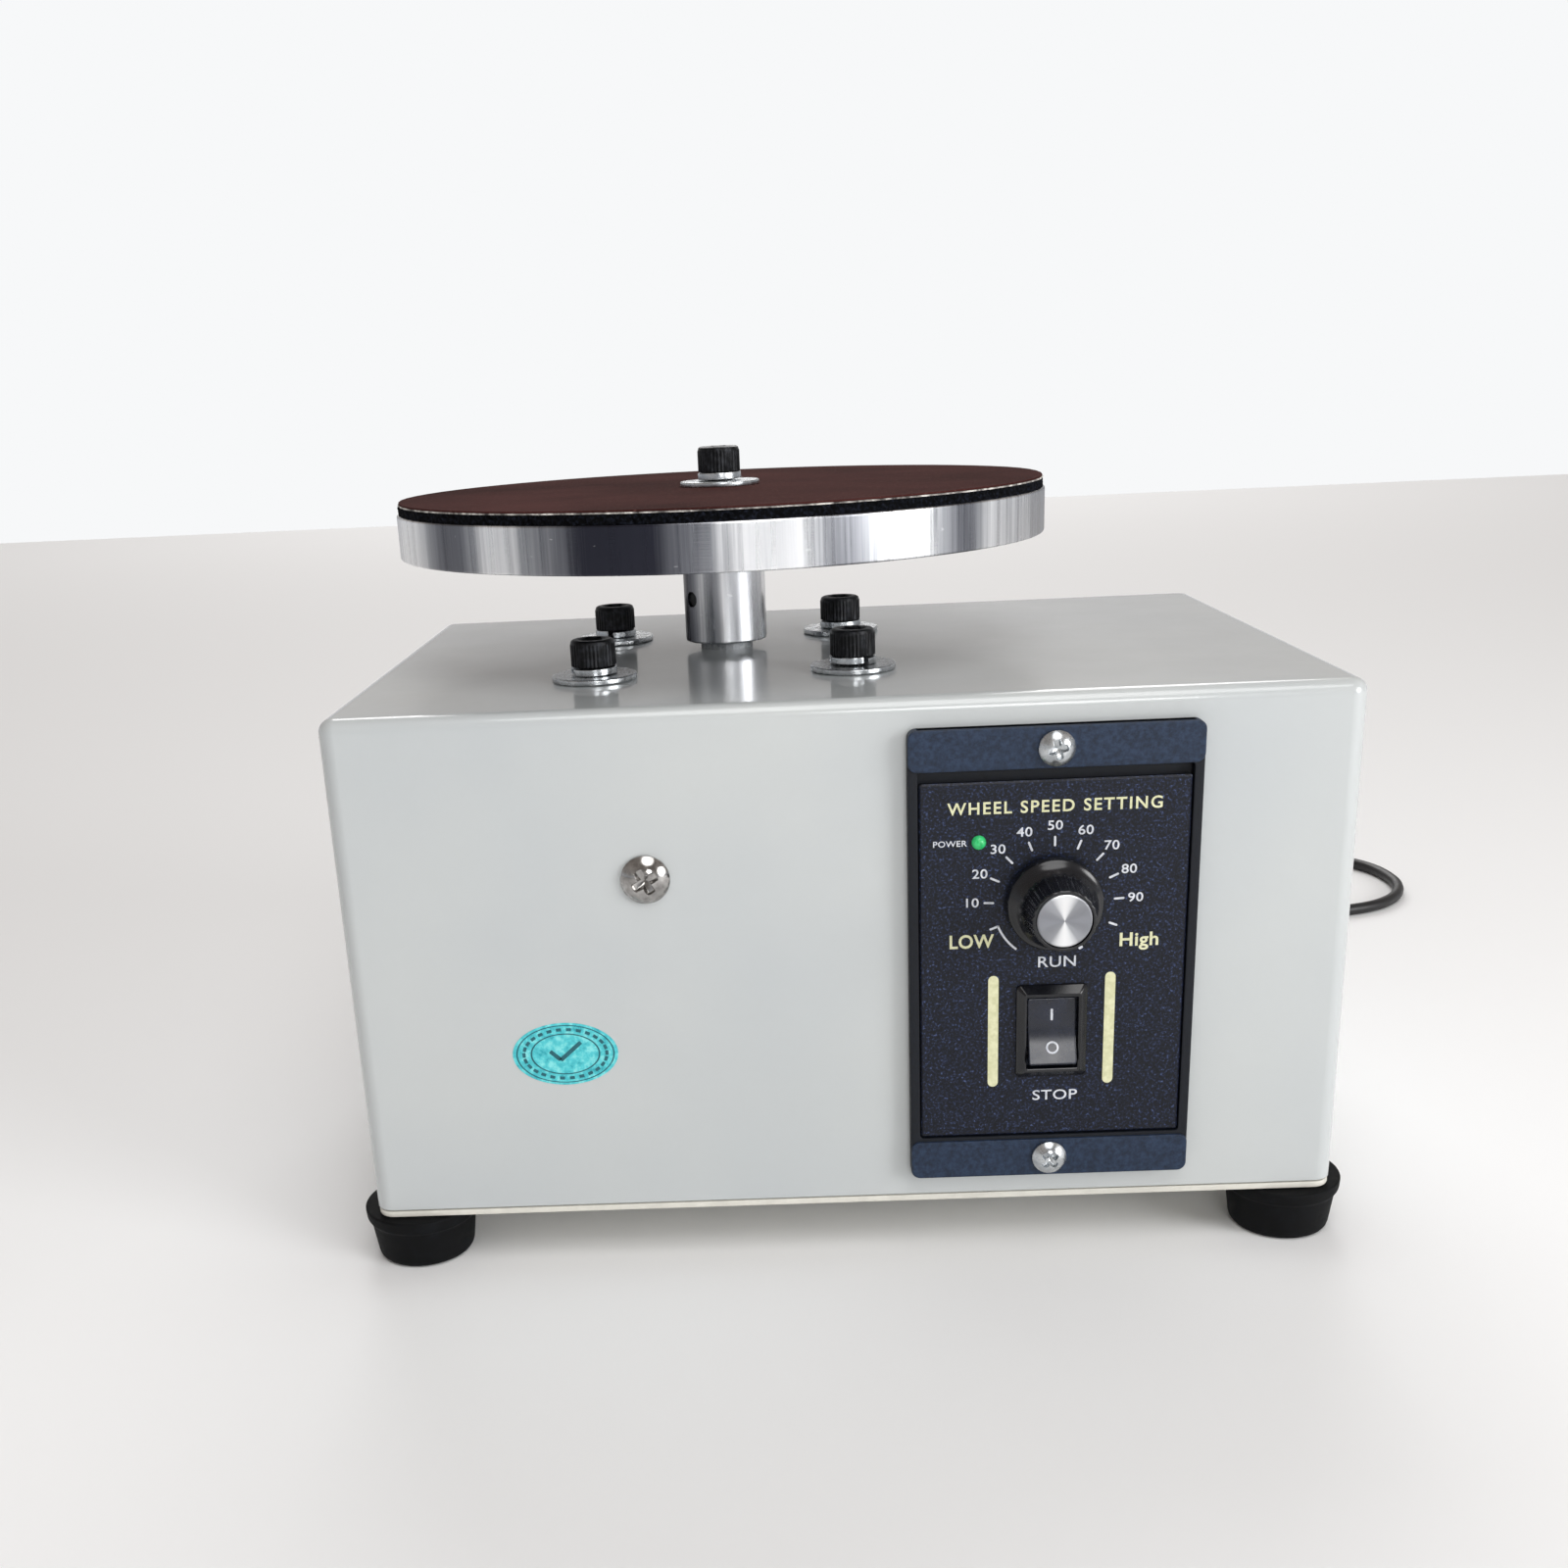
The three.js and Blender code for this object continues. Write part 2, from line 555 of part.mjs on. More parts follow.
function buildController() {
  const behind = frontY - GAP;
  const plateZ = (PLATE.bottom + PLATE.top) / 2;
  const plateHeight = PLATE.top - PLATE.bottom;
  const openings = (slack) => [
    rodAlongY(4 + slack, faceY - 5, frontY + 5, PANEL.x, KNOB.z, 20),
    rodAlongY(LAMP.radius + slack, faceY - 5, frontY + 5, LAMP.x, LAMP.z, 16),
    block(
      [PANEL.x - 6.5 - slack, faceY - 5, SWITCH.z - 9.5 - slack],
      [PANEL.x + 6.5 + slack, frontY + 5, SWITCH.z + 9.5 + slack],
    ),
  ];
  const body = plateAlongY(roundedShape(PANEL.width, PANEL.height, 2), faceY, behind, PANEL.x, PANEL.z);
  const recess = block(
    [PANEL.x - PLATE.width / 2 - 0.2, faceY - 1, PLATE.bottom - 0.2],
    [PANEL.x + PLATE.width / 2 + 0.2, plateBack + 0.1, PLATE.top + 0.2],
  );
  // A shallow groove sets the upper flange off from the plate.
  const groove = block(
    [PANEL.x - PANEL.width / 2 - 1, faceY - 1, PLATE.top + 0.1],
    [PANEL.x + PANEL.width / 2 + 1, faceY + 1, PLATE.top + 2.2],
  );
  const screwHoles = [-1, 1].map((side) =>
    rodAlongY(2.3, faceY - 1, frontY + 5, PANEL.x, PANEL.z + (side * PANEL.screwSpacing) / 2, 12),
  );
  add("controller_frame", cut(body, recess, groove, ...screwHoles, ...openings(0.2)), "panel");

  const plate = plateAlongY(roundedShape(PLATE.width, plateHeight, 0.6), plateFront, plateBack, PANEL.x, plateZ);
  add("controller_plate", cut(plate, ...openings(0.2)), "black");

  const [halfWidth, halfHeight] = [CASE.width / 2, CASE.height / 2];
  const caseFront = frontY + GAP;
  const caseBack = caseFront + CASE.depth;
  const shell = cut(
    block(
      [PANEL.x - halfWidth, caseFront, PANEL.z - halfHeight],
      [PANEL.x + halfWidth, caseBack, PANEL.z + halfHeight],
    ),
    block(
      [PANEL.x - halfWidth + CASE.wall, caseFront - 1, PANEL.z - halfHeight + CASE.wall],
      [PANEL.x + halfWidth - CASE.wall, caseBack - CASE.wall, PANEL.z + halfHeight - CASE.wall],
    ),
  );
  add("controller_case", shell, "black");

  // The circuit board carries a heat sink and two tall parts on its back.
  const boardY = caseFront + 14;
  const boardAt = (x1, z1, x2, z2, thickness) =>
    block([PANEL.x + x1, boardY + 1.5, PANEL.z + z1], [PANEL.x + x2, boardY + thickness, PANEL.z + z2]);
  const board = join(
    block([PANEL.x - 23, boardY, PANEL.z - 35], [PANEL.x + 23, boardY + 1.6, PANEL.z + 35]),
    boardAt(-18, 8, 6, 28, 24),
    boardAt(-16, -28, -4, -14, 18),
    boardAt(4, -26, 16, -6, 14),
  );
  add("circuit_board", board, "board");

  for (const [name, side] of [["upper", 1], ["lower", -1]]) {
    const head = [
      [0, faceY - 2.4],
      [2, faceY - 2.2],
      [3.3, faceY - 1.3],
      [3.7, faceY - 0.1],
      [1.9, faceY - 0.1],
      [1.9, faceY + 8],
      [0, faceY + 8],
    ];
    const z = PANEL.z + (side * PANEL.screwSpacing) / 2;
    add(`panel_screw_${name}`, turnedAlongY(head, PANEL.x, z, 16), "steel");
  }

  const lamp = [
    [0, plateFront - 1.4],
    [LAMP.radius * 0.7, plateFront - 1],
    [LAMP.radius, plateFront],
    [LAMP.radius, frontY + 6],
    [0, frontY + 6],
  ];
  add("run_lamp", turnedAlongY(lamp, LAMP.x, LAMP.z, 16), "lamp");
}

function buildKnob() {
  const { x } = PANEL;
  const { z, shaftRadius, skirtRadius, tipRadius, length } = KNOB;
  const bodyFront = frontY + GAP + 0.2;
  const bore = shaftRadius + 0.1;
  const bush = 3.9;
  const body = [
    [0, bodyFront + 9],
    [8, bodyFront + 9],
    [8, bodyFront],
    [bush, bodyFront],
    [bush, plateFront - 0.6],
    [bore, plateFront - 0.6],
    [bore, bodyFront + 7.5],
    [0, bodyFront + 7.5],
  ];
  add("potentiometer", turnedAlongY(body, x, z, 20), "steel");

  const skirt = plateFront - 1.2;
  const tip = skirt - length;
  add("potentiometer_shaft", rodAlongY(shaftRadius, tip + 2.2, bodyFront + 7, x, z, 16), "steel");
  const knob = [
    [bore, skirt],
    [skirtRadius, skirt],
    [skirtRadius, skirt - 1.8],
    [skirtRadius - 1.6, skirt - 2.8],
    [tipRadius + 1, skirt - 4.6],
    [tipRadius, tip + 0.5],
    [tipRadius - 0.4, tip],
    [tipRadius - 0.7, tip],
    [tipRadius - 0.7, tip + 1],
    [0, tip + 1],
    [0, tip + 1.9],
    [bore, tip + 1.9],
    [bore, skirt],
  ];
  const rib = block([x - 0.9, skirt - 2.4, z - skirtRadius + 0.1], [x + 0.9, skirt - 0.4, z - 7]);
  const pointer = new THREE.Matrix4().makeRotationY(THREE.MathUtils.degToRad(-30));
  const turnedRib = solid(
    geometryOf(rib).translate(-x, 0, -z).applyMatrix4(pointer).translate(x, 0, z),
  );
  add("speed_knob", join(turnedAlongY(knob, x, z, 28), turnedRib), "black");
  add("knob_cap", rodAlongY(tipRadius - 0.8, tip + 0.1, tip + 0.9, x, z, 28), "aluminium");
}

function buildSwitch() {
  const { x } = PANEL;
  const { z, width, height, rockerWidth, rockerHeight, tilt } = SWITCH;
  const rim = plateFront - 0.1;
  const front = rim - 1.9;
  const back = frontY + 12;
  const opening = [rockerWidth / 2 + GAP, rockerHeight / 2 + 0.2];
  const bezel = plateAlongY(roundedShape(width, height, 1), front, rim, x, z);
  const body = block([x - 6.4, rim - 1, z - 9.4], [x + 6.4, back, z + 9.4]);
  const well = block([x - opening[0], front - 1, z - opening[1]], [x + opening[0], back - 3, z + opening[1]]);
  add("switch_frame", cut(join(bezel, body), well), "black");

  // The rocker's face is two slopes that meet in a shallow valley; its upper half is pressed in.
  const half = rockerHeight / 2 - 0.25;
  const pivotY = front + 2;
  const outline = [
    [-half + 0.2, -2],
    [0, -0.9],
    [half - 0.2, -2],
    [half, -0.4],
    [half - 0.5, 2],
    [3, 5],
    [-3, 5],
    [-half + 0.5, 2],
    [-half, -0.4],
  ];
  const shape = new THREE.Shape(outline.map(([up, inward]) => new THREE.Vector2(inward, up)));
  const options = { depth: rockerWidth, bevelEnabled: false };
  const rocker = new THREE.ExtrudeGeometry(shape, options)
    .translate(0, 0, -rockerWidth / 2)
    .rotateZ(Math.PI / 2) // (inward, up) to (-up, inward)
    .rotateY(Math.PI / 2) // the extrusion now runs along x
    .rotateX(THREE.MathUtils.degToRad(-tilt))
    .translate(x, pivotY, z);
  add("switch_rocker", solid(rocker), "black");
}

function buildCord() {
  const exitY = backY + GLAND.length;
  const gland = [
    [CORD.radius + 0.3, backY - 8],
    [5.9, backY - 8],
    [5.9, backY + 0.1],
    [8, backY + 0.1],
    [8, backY + 2.4],
    [5.2, backY + 5],
    [3.3, exitY],
    [CORD.radius + 0.3, exitY],
    [CORD.radius + 0.3, backY - 8],
  ];
  add("cable_gland", turnedAlongY(gland, GLAND.x, GLAND.z, 16), "rubber");

  const { lie } = CORD;
  const outer = COIL.middle + COIL.halfWidth - CORD.radius;
  const coilEdge = 15;
  const lead = [
    [GLAND.x, exitY + GAP, GLAND.z],
    [GLAND.x, exitY + 9, GLAND.z - 1.5],
    [GLAND.x + 2, exitY + 19, 23],
    [GLAND.x + 7, exitY + 28, 11],
    [GLAND.x + 16, exitY + 36, 3.6],
    [GLAND.x + 31, exitY + 43, lie],
    [GLAND.x + 50, exitY + 47, lie],
    [165, 147, lie],
    [184, 148.5, lie],
    [200, 154, lie],
    [211, 165, lie],
    [216, 180, lie],
    [214, 197, lie],
    [205, 210, lie],
    [190, 217, lie],
    [170, 219, lie],
    [146, 216, lie],
    [120, 209, lie],
    [92, 201, lie],
    [64, 195, lie],
    [38, COIL.y + outer + 0.6, lie],
    [coilEdge, COIL.y + outer, lie],
  ];
  add("power_cord", tube(lead, CORD.radius, 60), "rubber");

  const { x, y, middle, halfWidth, height } = COIL;
  add("cord_coil", ring(middle - halfWidth, middle + halfWidth, 0.1, height, x, y, 28), "rubber");
  const tail = [
    [coilEdge, y - outer, lie],
    [23, PLUG.y, 2.7],
    [32, PLUG.y, 6.2],
    [PLUG.x - 4, PLUG.y, PLUG.z],
    [PLUG.x - GAP, PLUG.y, PLUG.z],
  ];
  add("power_cord_tail", tube(tail, CORD.radius, 6), "rubber");

  // A flat two-pin plug lying on the table, its pins to the right.
  const along = (x1, x2, halfY, halfZ) =>
    block([PLUG.x + x1, PLUG.y - halfY, PLUG.z - halfZ], [PLUG.x + x2, PLUG.y + halfY, PLUG.z + halfZ]);
  const neck = new THREE.CylinderGeometry(4.6, 3.2, 13, 12).rotateZ(-Math.PI / 2);
  const plug = join(
    solid(neck.translate(PLUG.x + 6.5, PLUG.y, PLUG.z)),
    along(12, 38, 9, 8.2),
    ...[-6.35, 6.35].map((side) =>
      block([PLUG.x + 37, PLUG.y + side - 0.8, PLUG.z - 3.2], [PLUG.x + 55, PLUG.y + side + 0.8, PLUG.z + 3.2]),
    ),
  );
  add("power_plug", plug, "rubber");
}

buildCover();
buildBase();
buildGearbox();
buildGears();
buildMotor();
buildWheel();
buildController();
buildKnob();
buildSwitch();
buildCord();

export default machine;
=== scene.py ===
# A bench-top pottery wheel: cream enamelled box, turned aluminium wheel head, plug-in speed
# controller and a thin mains lead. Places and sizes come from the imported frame; pieces are worked
# out in millimetres and turned to the frame's metres as their mesh is made.
import math

import bpy
import numpy as np
from mathutils import Matrix, Vector


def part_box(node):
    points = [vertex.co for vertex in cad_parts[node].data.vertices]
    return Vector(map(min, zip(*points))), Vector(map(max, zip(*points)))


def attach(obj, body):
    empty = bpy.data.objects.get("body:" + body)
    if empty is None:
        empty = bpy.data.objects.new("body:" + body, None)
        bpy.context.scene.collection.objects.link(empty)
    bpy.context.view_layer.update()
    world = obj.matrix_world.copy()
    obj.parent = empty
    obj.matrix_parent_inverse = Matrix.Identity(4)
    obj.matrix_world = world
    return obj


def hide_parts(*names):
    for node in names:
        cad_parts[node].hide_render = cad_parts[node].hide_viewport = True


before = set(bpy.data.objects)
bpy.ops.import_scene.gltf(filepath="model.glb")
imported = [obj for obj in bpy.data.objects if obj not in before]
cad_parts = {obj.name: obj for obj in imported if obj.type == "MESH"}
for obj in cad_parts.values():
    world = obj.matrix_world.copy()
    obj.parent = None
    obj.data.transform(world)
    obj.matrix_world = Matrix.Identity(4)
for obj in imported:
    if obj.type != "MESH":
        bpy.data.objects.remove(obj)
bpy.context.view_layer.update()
mm = 0.001
rng = np.random.default_rng(7)


def box(node):
    # a node's lowest and highest corners in millimetres, the unit every piece is worked out in
    return np.array(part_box(node)) / mm


def middle(node):
    return box(node).mean(0)


# camera
cameraSettings = {
    "place": (-0.01380, -0.39007, 0.18612),  # a hand's breadth above the box, 32 cm before it
    "heading": 1.571,  # degrees to the left of straight ahead
    "downTilt": 18.460,
    "roll": -2.644,
    "focal": 36.712,  # mm on a 36 mm wide sensor
    "shift": (0.02997, 0.08988),
}


def addCamera(settings):
    data = bpy.data.cameras.new("camera")
    data.sensor_width = 36
    data.lens = settings["focal"]
    data.shift_x, data.shift_y = settings["shift"]
    data.clip_start = 0.01
    camera = bpy.data.objects.new("camera", data)
    bpy.context.scene.collection.objects.link(camera)
    turn = Matrix.Rotation(math.radians(settings["heading"]), 4, "Z")
    turn = turn @ Matrix.Rotation(math.radians(90 - settings["downTilt"]), 4, "X")
    turn = turn @ Matrix.Rotation(math.radians(settings["roll"]), 4, "Z")
    camera.matrix_world = Matrix.Translation(settings["place"]) @ turn
    bpy.context.scene.camera = camera


addCamera(cameraSettings)
print("camera placed")


# materials
def linear(hexColour):
    # sRGB to linear: c / 12.92 below 0.04045, else ((c + 0.055) / 1.055) ^ 2.4
    parts = [int(hexColour[i : i + 2], 16) / 255 for i in (1, 3, 5)]
    return (*[c / 12.92 if c <= 0.04045 else ((c + 0.055) / 1.055) ** 2.4 for c in parts], 1)


def addNode(tree, kind, links=None, **settings):
    # links: socket name or number -> another node's socket, or a value to set on it
    made = tree.nodes.new(kind)
    for key, value in settings.items():
        setattr(made, key, value)
    for socket, value in (links or {}).items():
        if isinstance(value, bpy.types.NodeSocket):
            tree.links.new(value, made.inputs[socket])
        else:
            made.inputs[socket].default_value = value
    return made


def startMaterial(name, **sockets):
    made = bpy.data.materials.new(name)
    made.use_nodes = True
    tree = made.node_tree
    shader = tree.nodes["Principled BSDF"]
    for socket, value in sockets.items():
        shader.inputs[socket.replace("_", " ")].default_value = value
    return made, tree, shader


def ramp(tree, factor, stops):
    # a colour ramp: stops are (position, hex colour)
    made = addNode(tree, "ShaderNodeValToRGB", {"Fac": factor})
    elements = made.color_ramp.elements
    elements[0].position, elements[0].color = stops[0][0], linear(stops[0][1])
    elements[1].position, elements[1].color = stops[-1][0], linear(stops[-1][1])
    for position, colour in stops[1:-1]:
        elements.new(position).color = linear(colour)
    return made.outputs["Color"]


def objectCoordinates(tree, scale=(1, 1, 1), place=(0, 0, 0)):
    coordinates = addNode(tree, "ShaderNodeTexCoord")
    links = {"Vector": coordinates.outputs["Object"], "Scale": scale, "Location": place}
    return addNode(tree, "ShaderNodeMapping", links).outputs["Vector"]


def noise(tree, vector, size, detail=3, roughness=0.55):
    # size: how far apart the noise's blotches lie, in metres
    links = {"Vector": vector, "Scale": 1 / size, "Detail": detail, "Roughness": roughness}
    return addNode(tree, "ShaderNodeTexNoise", links).outputs["Fac"]


def spread(tree, value, low, high):
    # a 0 to 1 pattern stretched from its usual 0.3 to 0.7 on to low to high
    links = {"Value": value, "From Min": 0.3, "From Max": 0.7, "To Min": low, "To Max": high}
    return addNode(tree, "ShaderNodeMapRange", links).outputs["Result"]


def blended(tree, share, ground, colour):
    # the ground colour where the share is 0, the other colour where it is 1
    made = addNode(tree, "ShaderNodeMix", data_type="RGBA")
    sockets = {s.identifier: s for s in made.inputs}
    tree.links.new(share, sockets["Factor_Float"])
    tree.links.new(ground, sockets["A_Color"])
    sockets["B_Color"].default_value = linear(colour)
    return {s.identifier: s for s in made.outputs}["Result_Color"]


def bump(tree, shader, height, depth, strength=1.0):
    links = {"Height": height, "Distance": depth, "Strength": strength}
    made = addNode(tree, "ShaderNodeBump", links)
    tree.links.new(made.outputs["Normal"], shader.inputs["Normal"])


def creamEnamel():
    # sprayed and baked enamel: an even cream with a wet gloss and a trace of orange peel
    made, tree, shader = startMaterial(
        "creamBakedEnamel", IOR=1.5, Coat_Weight=0.7, Coat_Roughness=0.06, Coat_IOR=1.5
    )
    place = objectCoordinates(tree)
    cloud = noise(tree, place, 60 * mm, 2)
    tree.links.new(ramp(tree, cloud, [(0.3, "#B7BCBE"), (0.7, "#BEC2C2")]), shader.inputs["Base Color"])
    handled = noise(tree, place, 18 * mm, 5, 0.65)
    tree.links.new(spread(tree, handled, 0.23, 0.27), shader.inputs["Roughness"])
    bump(tree, shader, noise(tree, place, 2.2 * mm, 1), 0.02 * mm, 0.35)
    return made


def turnedAluminium(name="turnedAluminium", reflectionBandSize=34 * mm):
    # lathe-turned aluminium: bright, with painted reflections as upright bright and dark bands in its
    # colour, fine rings round the axis and a few short scratches from clay and keys
    made, tree, shader = startMaterial(name, Metallic=1.0, Anisotropic=0.35)
    x, y = middle("wheel_disc")[:2]
    upright = objectCoordinates(tree, (1, 1, 0.02), (-x * mm, -y * mm, 0))
    paintedReflectionBands = noise(tree, upright, reflectionBandSize, 1, 0.4)
    fine = noise(tree, upright, 2.6 * mm, 4, 0.7)
    links = {0: fine, 1: 0.16, 2: paintedReflectionBands}
    both = addNode(tree, "ShaderNodeMath", links, operation="MULTIPLY_ADD").outputs[0]
    # painted reflection: the dark and bright stops of the bands stand in for the room mirrored in the metal
    colours = [(0.42, "#363741"), (0.52, "#74767D"), (0.58, "#A7A9AE"), (0.64, "#F4F5F7")]
    colours.append((0.72, "#C9CBCF"))
    ground = ramp(tree, both, colours)
    short = noise(tree, objectCoordinates(tree, (1, 1, 2.5)), 3.5 * mm, 2, 0.4)
    marks = ramp(tree, short, [(0.73, "#000000"), (0.78, "#C0C0C0")])
    tree.links.new(blended(tree, marks, ground, "#F2F3F5"), shader.inputs["Base Color"])
    tree.links.new(spread(tree, fine, 0.22, 0.38), shader.inputs["Roughness"])
    rings = noise(tree, objectCoordinates(tree, (0.03, 0.03, 1)), 0.5 * mm, 2)
    bump(tree, shader, rings, 0.02 * mm, 0.5)
    return made


def gritSheet():
    # aluminium-oxide abrasive cloth, resin-bonded: dead matt red-brown with pale grains,
    # rubbed lighter in patches; the 0.25 mm grit is drawn at 0.6 mm so that it shows
    made, tree, shader = startMaterial("brownAbrasiveCloth", Roughness=1.0, Specular_IOR_Level=0.06)
    place = objectCoordinates(tree)
    worn = noise(tree, place, 45 * mm, 3)
    ground = ramp(tree, worn, [(0.35, "#331A18"), (0.7, "#472826")])
    grains = noise(tree, place, 0.6 * mm, 2, 0.8)
    pale = ramp(tree, grains, [(0.6, "#000000"), (0.78, "#FFFFFF")])
    tree.links.new(blended(tree, pale, ground, "#6E4A44"), shader.inputs["Base Color"])
    bump(tree, shader, grains, 0.15 * mm, 0.8)
    return made


def simpleMaterial(name, colours, roughness, size, depth, **sockets):
    # two or more colours by a noise of the given size, roughness and relief by the same noise
    made, tree, shader = startMaterial(name, **sockets)
    pattern = noise(tree, objectCoordinates(tree), size, 4, 0.6)
    stops = [(0.35 + 0.3 * i / (len(colours) - 1), c) for i, c in enumerate(colours)]
    tree.links.new(ramp(tree, pattern, stops), shader.inputs["Base Color"])
    tree.links.new(spread(tree, pattern, *roughness), shader.inputs["Roughness"])
    bump(tree, shader, pattern, depth, 0.6)
    return made


def spunAluminium():
    # a spun and diamond-cut knob cap: two bright wedges of light, where its rings would catch it, are painted
    # into its colour by angle
    made, tree, shader = startMaterial("spunAluminium", Metallic=1.0, Anisotropic=0.8, Roughness=0.32)
    tangent = addNode(tree, "ShaderNodeTangent", direction_type="UV_MAP", uv_map="spun")
    tree.links.new(tangent.outputs[0], shader.inputs["Tangent"])
    where = addNode(tree, "ShaderNodeUVMap", uv_map="spun").outputs[0]
    angle = addNode(tree, "ShaderNodeSeparateXYZ", {0: where}).outputs["X"]
    turned = addNode(tree, "ShaderNodeMath", {0: angle, 1: 4 * math.pi}, operation="MULTIPLY").outputs[0]
    paintedHighlightWedge = addNode(tree, "ShaderNodeMath", {0: turned}, operation="COSINE").outputs[0]
    # painted highlight: the colour runs from bright to dull twice round the cap
    colours = [(0.0, "#F7F8F9"), (0.08, "#E8EAEC"), (0.3, "#A2A4A9"), (1.0, "#8D8F95")]
    shade = addNode(
        tree, "ShaderNodeMapRange", {"Value": paintedHighlightWedge, "From Min": -1.0, "From Max": 1.0}
    ).outputs["Result"]
    tree.links.new(ramp(tree, shade, colours), shader.inputs["Base Color"])
    stretched = addNode(tree, "ShaderNodeMapping", {"Vector": where, "Scale": (0.4, 40, 1)}).outputs[0]
    rings = addNode(tree, "ShaderNodeTexNoise", {"Vector": stretched, "Scale": 1.0, "Detail": 3.0})
    bump(tree, shader, rings.outputs["Fac"], 0.01 * mm, 0.6)
    return made


def facePlate():
    # screen-printed plate with a pebbled black-blue finish: painted glints, pale flecks in its colour where
    # the pebbles would shine
    made, tree, shader = startMaterial("pebbledBluePlate", IOR=1.5, Specular_IOR_Level=0.3)
    place = objectCoordinates(tree)
    pebbles = noise(tree, place, 0.55 * mm, 2, 0.7)
    # the pale stops are painted glints on the pebbles' high spots
    colours = [(0.4, "#070A12"), (0.53, "#0F1422"), (0.64, "#222C47"), (0.74, "#4D5C85")]
    tree.links.new(ramp(tree, pebbles, colours), shader.inputs["Base Color"])
    tree.links.new(spread(tree, pebbles, 0.5, 0.32), shader.inputs["Roughness"])
    bump(tree, shader, pebbles, 0.08 * mm, 0.7)
    return made


def greenLens():
    # a clear green lamp, lit: the dome is bright at its middle
    made, tree, shader = startMaterial("greenLampLens", Roughness=0.12, IOR=1.49, Emission_Strength=0.15)
    shader.inputs["Emission Color"].default_value = linear("#3FD07A")
    grain = noise(tree, objectCoordinates(tree), 1.2 * mm, 2)
    tree.links.new(ramp(tree, grain, [(0.3, "#1B8F4C"), (0.7, "#3FC879")]), shader.inputs["Base Color"])
    return made


